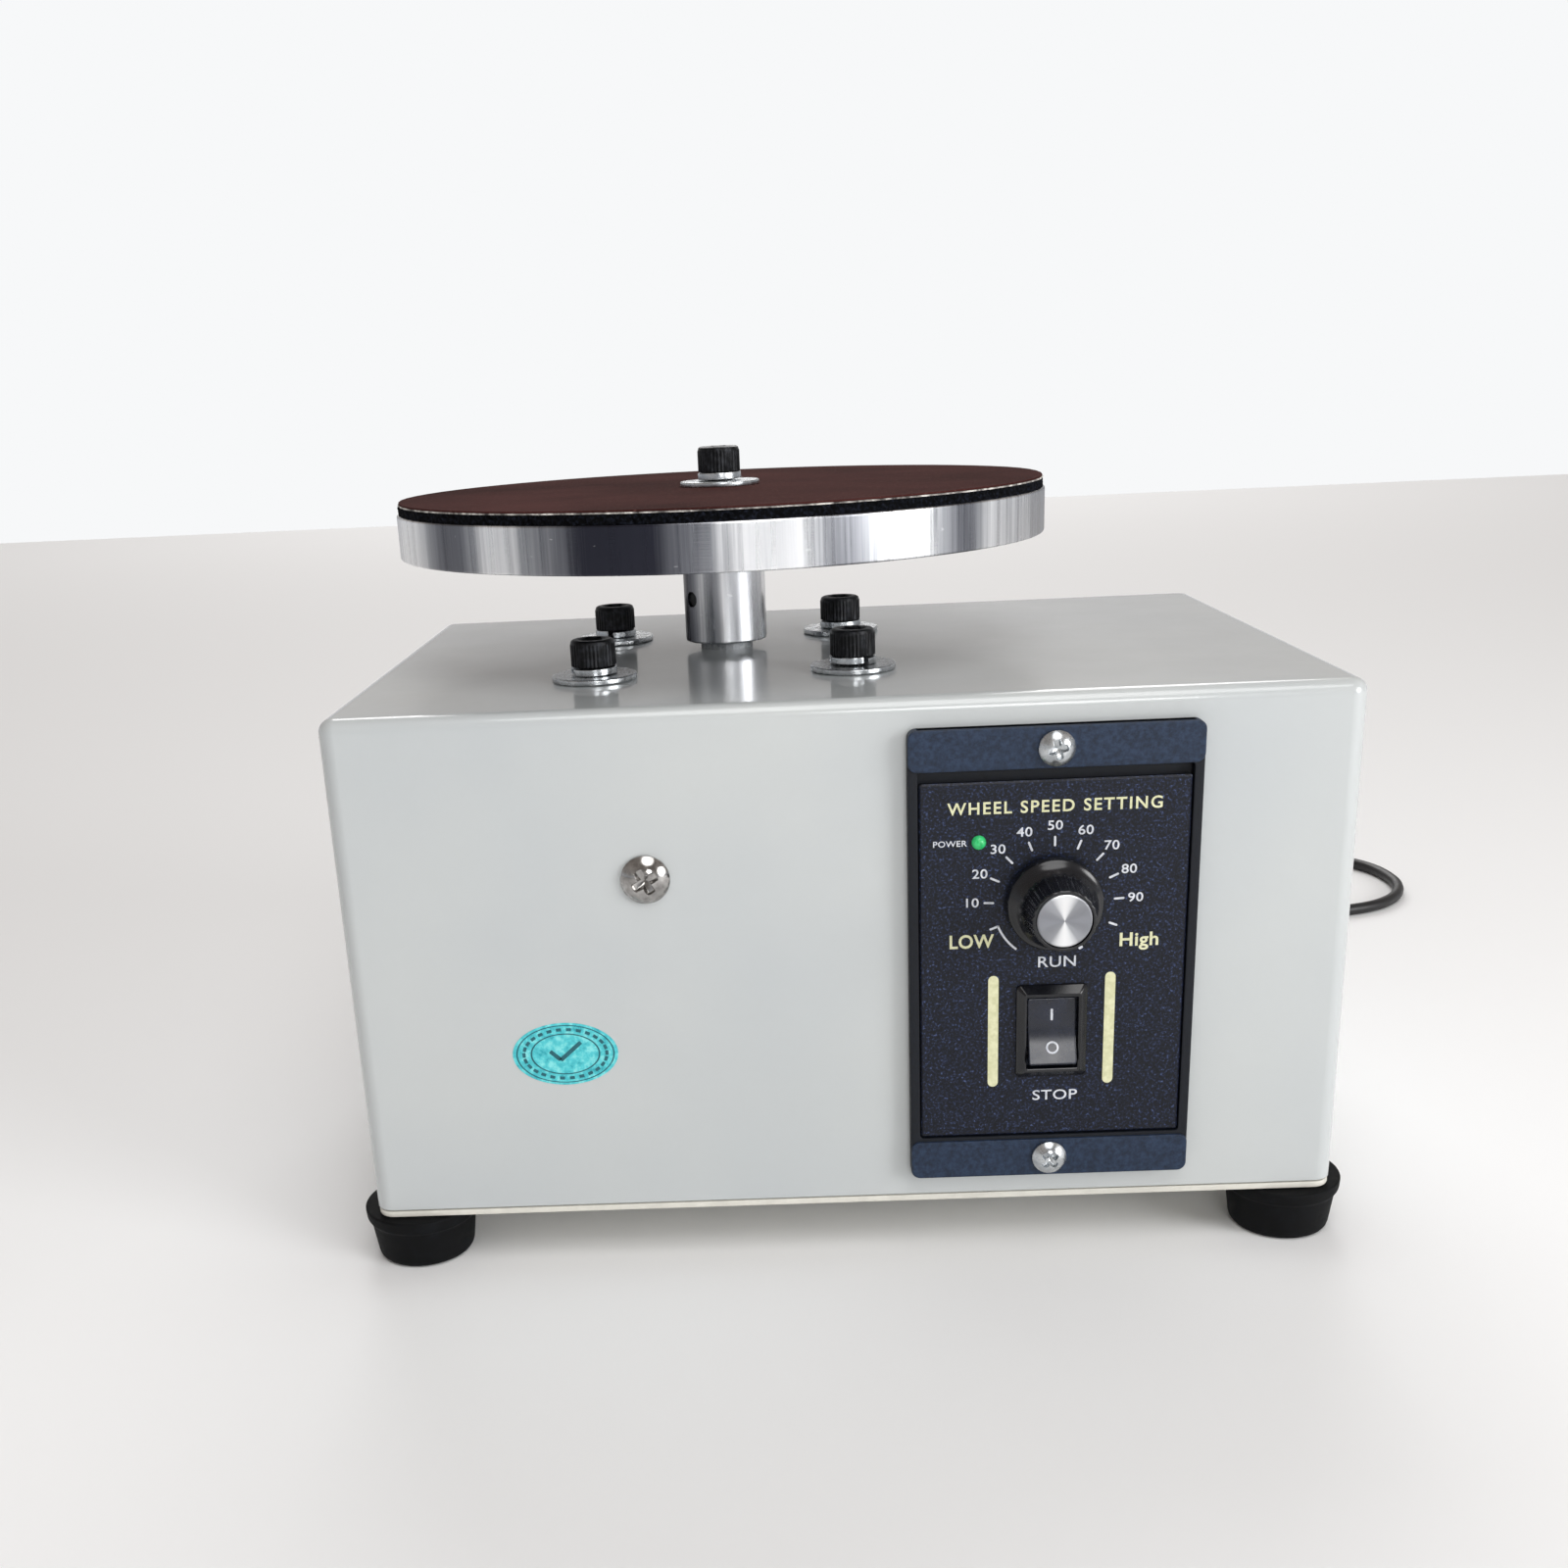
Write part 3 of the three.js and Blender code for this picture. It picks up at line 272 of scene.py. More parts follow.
finishes = {
    "enamel": creamEnamel(),
    # both turned finishes carry painted reflection bands in their colour
    "disc": turnedAluminium(),
    "hub": turnedAluminium("turnedHubAluminium", 13 * mm),
    "grit": gritSheet(),
    "spun": spunAluminium(),
    "plate": facePlate(),
    "lens": greenLens(),
    # woven hook-and-loop backing: black and fibrous, with grey loop ends
    "hook": simpleMaterial(
        "blackHookFabric", ["#030304", "#06070A", "#181B24"], (0.9, 1), 0.7 * mm, 0.2 * mm,
        Specular_IOR_Level=0.08,
    ),
    # white paper edge of the backing, where it was punched out
    "backing": simpleMaterial(
        "punchedBackingEdge", ["#2E2A28", "#8E8A86", "#DAD7D1"], (0.7, 0.9), 2.2 * mm, 0.05 * mm
    ),
    # black-oxidised alloy steel: near black, oily sheen, rubbed to grey on the knurl
    "blackSteel": simpleMaterial(
        "blackOxideSteel", ["#0C0D0F", "#17181B", "#2B2D31"], (0.3, 0.5), 1.5 * mm, 0.02 * mm, Metallic=0.7
    ),
    # bright zinc-plated steel: silvery with cloudy passivation
    "zinc": simpleMaterial(
        "brightZincSteel", ["#A9ADB1", "#BEC2C5", "#D5D8DA"], (0.2, 0.32), 2.5 * mm, 0.02 * mm, Metallic=1.0
    ),
    # nickel-plated screw, mirror-like with tiny pits
    "nickel": simpleMaterial(
        "nickelPlatedSteel", ["#8E8C8A", "#A5A3A1", "#B9B7B5"], (0.1, 0.2), 2 * mm, 0.01 * mm, Metallic=1.0
    ),
    # stoved cream paint on the base plate, a shade paler than the cover
    "basePaint": simpleMaterial("creamStovedPaint", ["#CFCDC4", "#DAD8CF"], (0.35, 0.45), 5 * mm, 0.01 * mm),
    # moulded natural rubber: soft black, dusty on the high spots
    "rubber": simpleMaterial(
        "mouldedRubber", ["#030405", "#07080A", "#0E1013"], (0.6, 0.8), 3 * mm, 0.05 * mm,
        Specular_IOR_Level=0.15,
    ),
    # moulded ABS with a fine spark texture, blue-black
    "abs": simpleMaterial(
        "sparkTexturedAbs", ["#142032", "#1B2A40", "#24344C"], (0.42, 0.55), 0.9 * mm, 0.04 * mm,
        Specular_IOR_Level=0.35,
    ),
    # painted shade: the same moulding coloured nearly black where it lies in the plate's shade
    "absPaintedShade": simpleMaterial(
        "absWithPaintedShade", ["#090D14", "#0F141D"], (0.45, 0.6), 0.9 * mm, 0.04 * mm, Specular_IOR_Level=0.3
    ),
    # polished ABS: deep black, sharp reflections
    "glossAbs": simpleMaterial(
        "polishedBlackAbs", ["#0A0B0F", "#101218"], (0.14, 0.24), 8 * mm, 0.01 * mm, IOR=1.54
    ),
    # polished nylon of the rocker, a shade bluer
    "rocker": simpleMaterial("polishedRockerNylon", ["#141824", "#1C2232"], (0.2, 0.3), 6 * mm, 0.01 * mm),
    # screen-print inks
    "creamInk": simpleMaterial("creamScreenInk", ["#C9C99F", "#DCDCB8"], (0.5, 0.65), 1.2 * mm, 0.01 * mm),
    "whiteInk": simpleMaterial("whiteScreenInk", ["#B9BDC6", "#DADDE3"], (0.5, 0.65), 1.2 * mm, 0.01 * mm),
    # plasticised PVC of the mains lead and plug
    "pvc": simpleMaterial(
        "blackPvcSheath", ["#0D0D0F", "#17171A"], (0.38, 0.52), 4 * mm, 0.03 * mm, IOR=1.53
    ),
    # holographic foil label, printed teal
    "foil": simpleMaterial(
        "tealFoilLabel", ["#2FA9B5", "#46C4CC", "#7FDCDD"], (0.25, 0.4), 1.6 * mm, 0.01 * mm, Coat_Weight=0.4
    ),
    "foilInk": simpleMaterial("darkLabelInk", ["#14505A", "#1C6470"], (0.4, 0.5), 1.5 * mm, 0.01 * mm),
    # pressure-cast aluminium, as cast
    "cast": simpleMaterial(
        "castAluminium", ["#7C7F82", "#94979A", "#A6A9AB"], (0.45, 0.65), 1.4 * mm, 0.08 * mm, Metallic=0.9
    ),
    # stoved motor enamel, dark grey
    "motorPaint": simpleMaterial("greyMotorEnamel", ["#33363B", "#3E4247"], (0.3, 0.45), 2.5 * mm, 0.03 * mm),
    # ground and hobbed steel with a film of grease
    "steel": simpleMaterial(
        "groundSteel", ["#7B7E82", "#A0A3A6", "#B9BCBF"], (0.2, 0.4), 1.8 * mm, 0.02 * mm, Metallic=1.0
    ),
    # enamelled copper wire, varnished
    "copper": simpleMaterial(
        "varnishedCopper", ["#8A4320", "#B4632F", "#CC8047"], (0.25, 0.4), 0.8 * mm, 0.15 * mm, Metallic=0.9
    ),
    # glass-epoxy board with solder resist
    "board": simpleMaterial("greenSolderResist", ["#1F4A2B", "#2C6238"], (0.3, 0.45), 3 * mm, 0.04 * mm),
    # tin-plated brass contact pins
    "pins": simpleMaterial(
        "plugPinBrass", ["#9E8B55", "#C2AE70", "#D6C68C"], (0.2, 0.36), 2 * mm, 0.02 * mm, Metallic=1.0
    ),
}
print("materials:", len(finishes))


# surfaces
def surface(name, grids, uvName=None, sharp=35):
    # Each grid is points[u, v]; cells become quads, points that coincide are welded, and the
    # whole is turned so that its signed volume, the sum of a . (b x c) / 6, is positive. The
    # points come in millimetres, and the mesh is in metres.
    corners, points, uvs, start = [], [], [], 0
    for grid in grids:
        rows, columns = grid.shape[:2]
        index = start + np.arange(rows * columns).reshape(rows, columns)
        quads = np.stack([index[:-1, :-1], index[1:, :-1], index[1:, 1:], index[:-1, 1:]], -1)
        flat = grid.reshape(-1, 3)
        a, b, c, d = (flat[quads.reshape(-1, 4)[:, k] - start] for k in range(4))
        volume = np.einsum("ij,ij->", a, np.cross(b, c)) + np.einsum("ij,ij->", a, np.cross(c, d))
        corners.append(quads.reshape(-1, 4)[:, :: 1 if volume > 0 else -1])
        points.append(flat)
        u, v = np.meshgrid(np.linspace(0, 1, rows), np.linspace(0, 1, columns), indexing="ij")
        uvs.append(np.stack([v, u], -1).reshape(-1, 2))
        start += rows * columns
    corners, points, uvs = np.concatenate(corners), np.concatenate(points), np.concatenate(uvs)
    welded, where = np.unique(np.round(points * mm, 7), axis=0, return_inverse=True)
    where = where.reshape(-1)
    ids = where[corners]
    same = ids == np.roll(ids, -1, axis=1)
    whole = ids[same.sum(1) == 0]
    wholeUv = corners[same.sum(1) == 0]
    oneShort = same.sum(1) == 1
    keep = ~same[oneShort]
    thirds = ids[oneShort][keep].reshape(-1, 3)
    thirdsUv = corners[oneShort][keep].reshape(-1, 3)
    mesh = bpy.data.meshes.new(name)
    mesh.from_pydata(welded.tolist(), [], whole.tolist() + thirds.tolist())
    if uvName:
        layer = mesh.uv_layers.new(name=uvName)
        order = np.concatenate([wholeUv.reshape(-1), thirdsUv.reshape(-1)])
        layer.data.foreach_set("uv", uvs[order].astype(np.float32).reshape(-1))
    mesh.polygons.foreach_set("use_smooth", np.ones(len(mesh.polygons), dtype=bool))
    mesh.set_sharp_from_angle(angle=math.radians(sharp))
    mesh.update()
    return mesh


def addPiece(name, mesh, finish, body, nodes=()):
    made = bpy.data.objects.new(name, mesh)
    bpy.context.scene.collection.objects.link(made)
    made.data.materials.append(finishes[finish])
    even = made.modifiers.new("evenNormals", "WEIGHTED_NORMAL")
    even.keep_sharp = True
    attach(made, body)
    if nodes:
        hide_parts(*nodes)
    return made


def filleted(points, radii, steps=5):
    # A polyline with each corner rounded: at a corner p between a and b the arc is the
    # quadratic blend (1-t)^2 s + 2t(1-t) p + t^2 e, with s and e the radius away from p.
    points = [np.array(p, float) for p in points]
    out = []
    for i, (p, radius) in enumerate(zip(points, radii)):
        if radius == 0:
            out.append(p)
            continue
        a, b = points[i - 1], points[(i + 1) % len(points)]
        start = p + (a - p) * min(0.5, radius / np.linalg.norm(a - p))
        end = p + (b - p) * min(0.5, radius / np.linalg.norm(b - p))
        t = np.linspace(0, 1, steps)[:, None]
        out.extend((1 - t) ** 2 * start + 2 * t * (1 - t) * p + t**2 * end)
    return np.array(out)


def closedProfile(points, radii):
    # the same, with the first point repeated at the end
    rows = filleted(points, radii)
    return np.concatenate([rows, rows[:1]])


def wholeTurn(steps):
    # angles once round, the last one the same number as the first so that the seam closes
    angle = np.linspace(0, 2 * np.pi, steps + 1)
    angle[-1] = 0
    return angle


def lathe(profile, centre, axis="z", segments=96, ripple=None):
    # x = r cos a, y = r sin a, z = h over the profile's (r, h) and a whole turn of a;
    # ripple(angle, r, h) may change r. axis "y" lays h along y instead.
    r, h = np.array(profile, float).T
    rr, aa = np.meshgrid(r, wholeTurn(segments), indexing="ij")
    hh = np.repeat(h[:, None], segments + 1, 1)
    if ripple:
        rr = ripple(aa, rr, hh)
    across, along = rr * np.cos(aa), rr * np.sin(aa)
    parts = (across, along, hh) if axis == "z" else (across, hh, along)
    return np.stack(parts, -1) + np.array(centre)


def roundedOutline(width, height, radius, perCorner=8):
    # Round corners as quarter circles about (w/2 - r, h/2 - r), joined by straight sides.
    quarter = np.linspace(0, np.pi / 2, perCorner)
    out = []
    for k, (sx, sy) in enumerate([(1, 1), (-1, 1), (-1, -1), (1, -1)]):
        a = quarter + k * np.pi / 2
        middleX, middleY = sx * (width / 2 - radius), sy * (height / 2 - radius)
        out.append(np.stack([middleX + radius * np.cos(a), middleY + radius * np.sin(a)], -1))
    out = np.concatenate(out)
    return np.concatenate([out, out[:1]])


def loft(rings, centre, along="y", closed=False):
    # Rounded rectangles (place, width, height, radius, shift) stacked along an axis; the ends
    # close on a middle point, or the last ring returns to the first for a piece with a hole.
    grids = []
    for ring in rings:
        place, width, height, radius = ring[:4]
        shift = ring[4] if len(ring) > 4 else 0
        flat = roundedOutline(width, height, radius)
        level = np.full(len(flat), place)
        order = {
            "y": (flat[:, 0], level, flat[:, 1] + shift),
            "z": (flat[:, 0], flat[:, 1] + shift, level),
            "x": (level, flat[:, 0], flat[:, 1] + shift),
        }[along]
        grids.append(np.stack(order, -1))
    if closed:
        grids.append(grids[0])
    else:
        grids.insert(0, np.repeat(grids[0].mean(0, keepdims=True), len(grids[0]), 0))
        grids.append(np.repeat(grids[-1].mean(0, keepdims=True), len(grids[-1]), 0))
    return np.array(grids) + np.array(centre)


def sweep(path, section):
    # A section carried along a path: each ring is p + a s1 + b s2, with a and b square to the
    # path and turned as little as can be from one point to the next; the ends are closed.
    path = np.array(path, float)
    heading = np.gradient(path, axis=0)
    heading /= np.linalg.norm(heading, axis=1, keepdims=True)
    side = np.cross(heading[0], (0, 0, 1.0))
    if np.linalg.norm(side) < 1e-3:
        side = np.cross(heading[0], (0, 1.0, 0))
    sides = []
    for h in heading:
        side = side - h * np.dot(side, h)
        side = side / np.linalg.norm(side)
        sides.append(side)
    sides = np.array(sides)
    ups = np.cross(sides, heading)
    rings = path[:, None] + sides[:, None] * section[None, :, :1] + ups[:, None] * section[None, :, 1:]
    ends = [np.repeat(p[None, None], len(section), 1) for p in (path[0], path[-1])]
    return np.concatenate([ends[0], rings, ends[1]])


def circleSection(radius, sides=12):
    a = wholeTurn(sides)
    return np.stack([radius * np.cos(a), radius * np.sin(a)], -1)


def smoothPath(points, perSpan=6):
    # Catmull-Rom: each span is 0.5 (2b + (c-a)t + (2a-5b+4c-d)t^2 + (3b-a-3c+d)t^3)
    p = np.array(points, float)
    p = np.concatenate([[2 * p[0] - p[1]], p, [2 * p[-1] - p[-2]]])
    t = np.linspace(0, 1, perSpan, endpoint=False)[:, None]
    spans = [
        0.5 * (2 * b + (c - a) * t + (2 * a - 5 * b + 4 * c - d) * t**2 + (3 * b - a - 3 * c + d) * t**3)
        for a, b, c, d in zip(p, p[1:], p[2:], p[3:])
    ]
    return np.concatenate(spans + [p[-2:-1]])


# mains lead
cordSettings = {
    "radius": 2,
    # from the gland down to the table, out in a loop to the right and back to the coil
    "lead": [
        (92, 102.3, 34), (92, 111, 32.5), (94, 121, 23), (99, 130, 11), (108, 138, 3.6),
        (123, 145, 2.05), (142, 149, 2.05), (165, 150, 2.05), (184, 151.5, 2.05), (200, 157, 2.05),
        (211, 168, 2.05), (216, 183, 2.05), (214, 200, 2.05), (205, 213, 2.05), (190, 220, 2.05),
        (170, 222, 2.05), (146, 219, 2.05), (120, 212, 2.05), (92, 204, 2.05), (64, 198, 2.05),
        (38, 194.6, 2.05), (15, 194, 2.2),
    ],
    "turns": 7.5,
    "turnPoints": 36,
    "turnRadii": (26, 22, 18, 18, 22, 26, 22, 26),  # turn by turn, the last a half turn
    "turnHeights": (2.9, 2.9, 2.9, 6.8, 6.8, 6.8, 10.7, 10.9),
    "slide": 0.2,  # the share of a turn, at its end, in which it moves over to the next
    "tail": [(15, 142, 10.9), (24, 142, 10.6), (33, 142, 9.2), (39, 142, 8.3), (45, 142, 8.3)],
}
plugSettings = {
    "collar": 1.2,  # how far the neck stands out from the cord
    "ribs": 5,
    "firstRib": 1,
    "ribPitch": 2.2,
    "ribGrowth": 0.28,
    # place along a rib, how far it stands out from the neck
    "rib": ((0, 0.5), (1.2, 0.5), (1.5, 0.05)),
    "neck": 12,
    "size": (18, 16.2, 4),  # width, height, corner radius
    # place along the body, its share of the full size
    "body": ((0, 0.62), (1.2, 0.86), (3, 0.97), (6, 1), (20, 1), (24.4, 0.985), (25.4, 0.95), (26, 0.86)),
    "pinOffset": 6.35,
    "pinStart": 37.7,
    # place along a pin, its thickness, width and corner radius
    "pin": ((0, 1.4, 6.2, 0.3), (0.2, 1.5, 6.3, 0.4), (16.4, 1.5, 6.3, 0.4), (17, 0.9, 5.2, 0.3)),
}
glandSettings = {
    "clearance": 0.1,
    "bush": (5.8, 5.9),
    # radius and distance behind the wall
    "flange": ((7.9, 0.1), (7.9, 2.2), (5.4, 3.2)),
    "ribs": 6,
    "firstRib": (5.1, 5),
    "ribShrink": 0.3,
    "ribPitch": 3.3,
    # how far in from the rib's radius, how far along
    "rib": ((0, 0), (0, 1.7), (0.9, 2), (0.9, 3)),
    "tip": ((3.1, -0.3), (2.7, 0)),
}
tieSettings = {
    "reach": 22,  # from the coil's middle to the bundle's
    "height": 6.85,
    "size": (13.6, 12.9, 3),  # across, tall, corner radius
    # place along the cord, how far the band is drawn in
    "edges": ((-1.8, 0.36), (-1.6, 0), (1.6, 0), (1.8, 0.36)),
    "inside": (1.2, 2.4),  # how much smaller, corner radius
}


def cordPath(settings):
    # The coil is its middle + (r cos a, r sin a) at height z: r and z hold through most of a
    # turn and move to the next turn's by s^2 (3 - 2 s) at its end.
    centre = middle("cord_coil")
    step = np.arange(0, settings["turns"], 1 / settings["turnPoints"])
    number = np.floor(step).astype(int)
    share = np.clip((step - number - 1 + settings["slide"]) / settings["slide"], 0, 1)
    share = share * share * (3 - 2 * share)

    def held(values):
        values = np.array(values + values[-1:])
        return values[number] * (1 - share) + values[number + 1] * share

    r, z = held(settings["turnRadii"]), held(settings["turnHeights"])
    angle = np.pi / 2 + 2 * np.pi * step
    coil = np.stack([centre[0] + r * np.cos(angle), centre[1] + r * np.sin(angle), z], -1)
    return np.concatenate([smoothPath(settings["lead"]), coil, smoothPath(settings["tail"])])


def addPlug(settings, cordRadius):
    # Rounded rectangles along x: ribs that swell and fall along the neck, then a soft-edged body.
    low, high = box("power_plug")
    start = (low[0], (low[1] + high[1]) / 2, (low[2] + high[2]) / 2)
    collar = cordRadius + settings["collar"]
    rings = [(0, 2 * collar, 2 * collar, collar * 0.98)]
    for k in range(settings["ribs"]):
        base = settings["firstRib"] + settings["ribPitch"] * k
        for place, proud in settings["rib"]:
            r = collar + proud + settings["ribGrowth"] * k
            rings.append((base + place, 2 * r, 2 * r, r * 0.95))
    for place, share in settings["body"]:
        rings.append((settings["neck"] + place, *[share * v for v in settings["size"]]))
    mesh = surface("plugBody", [loft(rings, start, "x")])
    plug = addPiece("plugBody", mesh, "pvc", "housing", ["power_plug"])
    blades = []
    for side in (-1, 1):
        blade = (start[0] + settings["pinStart"], start[1] + side * settings["pinOffset"], start[2])
        blades.append(loft(settings["pin"], blade, "x"))
    return plug, addPiece("plugPins", surface("plugPins", blades), "pins", "housing")


def addGland(settings, cordRadius):
    # A turned profile along y, with ribs that get smaller towards the cord.
    low, high = box("cable_gland")
    back = box("housing_cover")[1][1]
    centre = middle("cable_gland") * (1, 0, 1)
    inner = cordRadius + settings["clearance"]
    bush, mouth = settings["bush"]
    rows = [(inner, low[1]), (bush, low[1]), (mouth, back + settings["flange"][0][1])]
    rows += [(r, back + y) for r, y in settings["flange"]]
    radius, first = settings["firstRib"]
    for k in range(settings["ribs"]):
        for inset, place in settings["rib"]:
            y = back + first + settings["ribPitch"] * k + place
            rows.append((radius - settings["ribShrink"] * k - inset, y))
    rows += [(r, high[1] + y) for r, y in settings["tip"]]
    rows += [(inner, high[1]), rows[0]]
    mesh = surface("cableGland", [lathe(rows, centre, "y", 64)])
    return addPiece("cableGland", mesh, "rubber", "housing", ["cable_gland"])


def addTie(settings):
    # A flat band closed round the coil's bundle: rounded rectangles out, over and back inside.
    across, tall, corner = settings["size"]
    rings = [(place, across - inset, tall - inset, corner) for place, inset in settings["edges"]]
    smaller, innerCorner = settings["inside"]
    for place in (rings[2][0], rings[1][0]):
        rings.append((place, across - smaller, tall - smaller, innerCorner))
    coil = middle("cord_coil")
    centre = (coil[0] - settings["reach"], coil[1], settings["height"])
    mesh = surface("coilTie", [loft(rings, centre, "y", True)])
    return addPiece("coilTie", mesh, "rubber", "housing")


def addCord(settings):
    radius = settings["radius"]
    path = cordPath(settings)
    mesh = surface("mainsLead", [sweep(path, circleSection(radius))], sharp=60)
    nodes = ["power_cord", "cord_coil", "power_cord_tail"]
    cord = addPiece("mainsLead", mesh, "pvc", "housing", nodes)
    fitted = [*addPlug(plugSettings, radius), addGland(glandSettings, radius), addTie(tieSettings)]
    path = path * mm


addCord(cordSettings)
print("mains lead laid")


# box
boxSettings = {
    "corner": 4,
    "leastCorner": 0.4,
    "bend": 3,
    "sheet": 1.2,
    "edge": 0.2,  # how much the sheet's cut edge is eased
    "flatTop": 12,  # width of the flat strip of faces inside the bend
}
baseSettings = {
    "corner": 3.8,
    # height from the nearer face, how far the edge is drawn in
    "edge": ((0, 0.4), (0.1, 0.1), (0.4, 0)),
}
footSettings = {
    "hole": 2.4,
    "counterbore": (5.5, 5),  # radius, height of its roof
    "bottom": 10.8,
    "top": 13,
    "lip": ((1, 3.4), (0.2, 2.6)),  # in from the top's radius, down from the top
    "fillets": (0, 0, 0, 0.6, 1.6, 0.7, 0.5, 0.6),
}


def coverRings(settings, low, high):
    # From the middle of the top out, over the bend, down the wall, round the bottom edge and
    # back up inside: inset = bend (1 - cos f), height = top - bend (1 - sin f).
    width, depth = high[0] - low[0], high[1] - low[1]
    bend, sheet, edge = settings["bend"], settings["sheet"], settings["edge"]
    flat = bend + settings["flatTop"]
    outer = [(high[2], flat), (high[2], bend + 0.5)]
    for f in np.linspace(np.pi / 2, 0, 10):
        outer.append((high[2] - bend * (1 - math.sin(f)), bend * (1 - math.cos(f))))
    outer += [(high[2] - bend - 1, 0), (low[2] + 1, 0), (low[2] + edge, 0), (low[2], edge)]
    inner = [(low[2], sheet - edge), (low[2] + edge, sheet), (high[2] - bend, sheet)]
    inside = bend - sheet
    for f in np.linspace(0, np.pi / 2, 6):
        height = high[2] - sheet - inside * (1 - math.sin(f))
        inner.append((height, sheet + inside * (1 - math.cos(f))))
    inner.append((high[2] - sheet, flat))
    rings = []
    for z, inset in outer + inner:
        radius = max(settings["corner"] - inset, settings["leastCorner"])
        rings.append((z, width - 2 * inset, depth - 2 * inset, radius))
    return rings


def addCover(settings):
    low, high = box("housing_cover")
    centre = middle("housing_cover") * (1, 1, 0)
    mesh = surface("coverShell", [loft(coverRings(settings, low, high), centre, "z")])
    addPiece("coverShell", mesh, "enamel", "housing", ["housing_cover"])


def addBasePlate(settings):
    # Rounded rectangles from the lower face to the upper, both edges eased.
    low, high = box("base_plate")
    width, depth = high[0] - low[0], high[1] - low[1]
    levels = [(low[2] + h, inset) for h, inset in settings["edge"]]
    levels += [(high[2] - h, inset) for h, inset in reversed(settings["edge"])]
    rings = [(z, width - 2 * i, depth - 2 * i, settings["corner"]) for z, i in levels]
    mesh = surface("basePlate", [loft(rings, middle("base_plate") * (1, 1, 0), "z")])
    addPiece("basePlate", mesh, "basePaint", "housing", ["base_plate"])


def addFoot(settings, corner):
    # A turned profile: screw hole, counterbore, tread, flaring wall and top.
    node = "foot_" + corner
    height = box(node)[1][2]
    hole, (bore, roof) = settings["hole"], settings["counterbore"]
    profile = [(hole, height), (hole, roof), (bore, roof), (bore, 0), (settings["bottom"], 0)]
    profile += [(settings["top"] - inset, height - drop) for inset, drop in settings["lip"]]
    profile.append((settings["top"], height))
    rows = closedProfile(profile, settings["fillets"])
    mesh = surface("foot", [lathe(rows, middle(node) * (1, 1, 0), "z", 72)])
    addPiece("rubberFoot_" + corner, mesh, "rubber", "housing", [node])


corners = ("front_left", "front_right", "back_left", "back_right")
addCover(boxSettings)
addBasePlate(baseSettings)
for corner in corners:
    addFoot(footSettings, corner)
print("box done")


# fasteners
capSettings = {
    "headHeight": 6,
    "headRadius": 5,
    "shank": 2.9,
    "lead": (0.8, 0.8),  # the shank's end: share of its radius, length
    "foot": ((0.3, 0), (0.05, 0.25), (0.05, 0.5)),  # in from the head's radius, up from the seat
    "crown": ((0.05, 1.1), (0.1, 0.8), (0.25, 0.3), (0.7, 0.03), (1.1, 0)),  # in, down from the top
    "key": 2.5,  # half the hexagon's width across flats
    "keyMouth": (1.25, 0.25),  # share of the key's radius, depth
    "keyDepth": (3, 3.6),
    "knurls": 36,
    "knurlDepth": 0.018,
    "knurlFrom": 0.09,
}
washerSettings = {"hole": 3.2, "fillets": (0.15, 0.25, 0.35, 0.15)}
springSettings = {
    "inner": 3.2,
    "outer": 5.2,
    "arc": 346,  # degrees
    "rise": 0.2,  # share of the thickness
    "steps": 60,
    "fill": 0.92,  # the wire's height as a share of the thickness
    "corner": 0.2,
    "motorThickness": 1.6,
    "centreThickness": 1.7,
    "centreStart": 0.6,
}
crossSettings = {
    "bar": 0.2,  # shares of the head's radius, and of its height for the depths
    "softness": 0.4,
    "reach": 0.56,
    "fade": 0.05,
    "depth": 0.8,
    "taper": 0.6,
    "rim": 0.25,
    "domePower": 2.6,
}
panScrews = {
    # node: piece, finish, head radius, head height, shank radius, length, turn of the cross
    "front_screw": ("frontScrew", "nickel", 5.2, 2.8, 2.4, 9, 0.5),
    "panel_screw_upper": ("panelScrew_upper", "zinc", 3.7, 2.3, 1.9, 8, 0.2),
    "panel_screw_lower": ("panelScrew_lower", "zinc", 3.7, 2.3, 1.9, 8, 0.75),
}


def capScrewGrid(node, settings=capSettings):
    # Knurl: r (1 + depth cos n a) on the head's side. Socket: a hexagon, k / cos(a mod 60 - 30).
    low, high = box(node)
    top, seat = high[2], high[2] - settings["headHeight"]
    head, shank, key = settings["headRadius"], settings["shank"], settings["key"]
    share, lead = settings["lead"]
    rows = [(0, low[2]), (shank * share, low[2]), (shank, low[2] + lead), (shank, seat)]
    rows += [(head - inset, seat + up) for inset, up in settings["foot"]]
    rows += [(head - inset, top - down) for inset, down in settings["crown"]]
    mouth, chamfer = settings["keyMouth"]
    flat, cone = settings["keyDepth"]
    rows += [(key * mouth, top), (key, top - chamfer), (key, top - flat), (0, top - cone)]

    def shape(angle, r, h):
        knurled = (r > head - settings["knurlFrom"]) & (h > seat)
        wave = 1 + settings["knurlDepth"] * np.cos(settings["knurls"] * angle)
        r = np.where(knurled, r * wave, r)
        sector = np.mod(angle, np.pi / 3) - np.pi / 6
        hexed = (np.abs(r - key) < 1e-6) & (h > seat)
        return np.where(hexed, key / np.cos(sector), r)

    return lathe(rows, middle(node) * (1, 1, 0), "z", 144, shape)


def washerGrid(node, settings=washerSettings):
    # A turned rectangle with its corners eased.
    low, high = box(node)
    hole, outer = settings["hole"], (high[0] - low[0]) / 2
    profile = [(hole, low[2]), (outer, low[2]), (outer, high[2]), (hole, high[2])]
    rows = closedProfile(profile, settings["fillets"])
    return lathe(rows, middle(node) * (1, 1, 0), "z", 96)


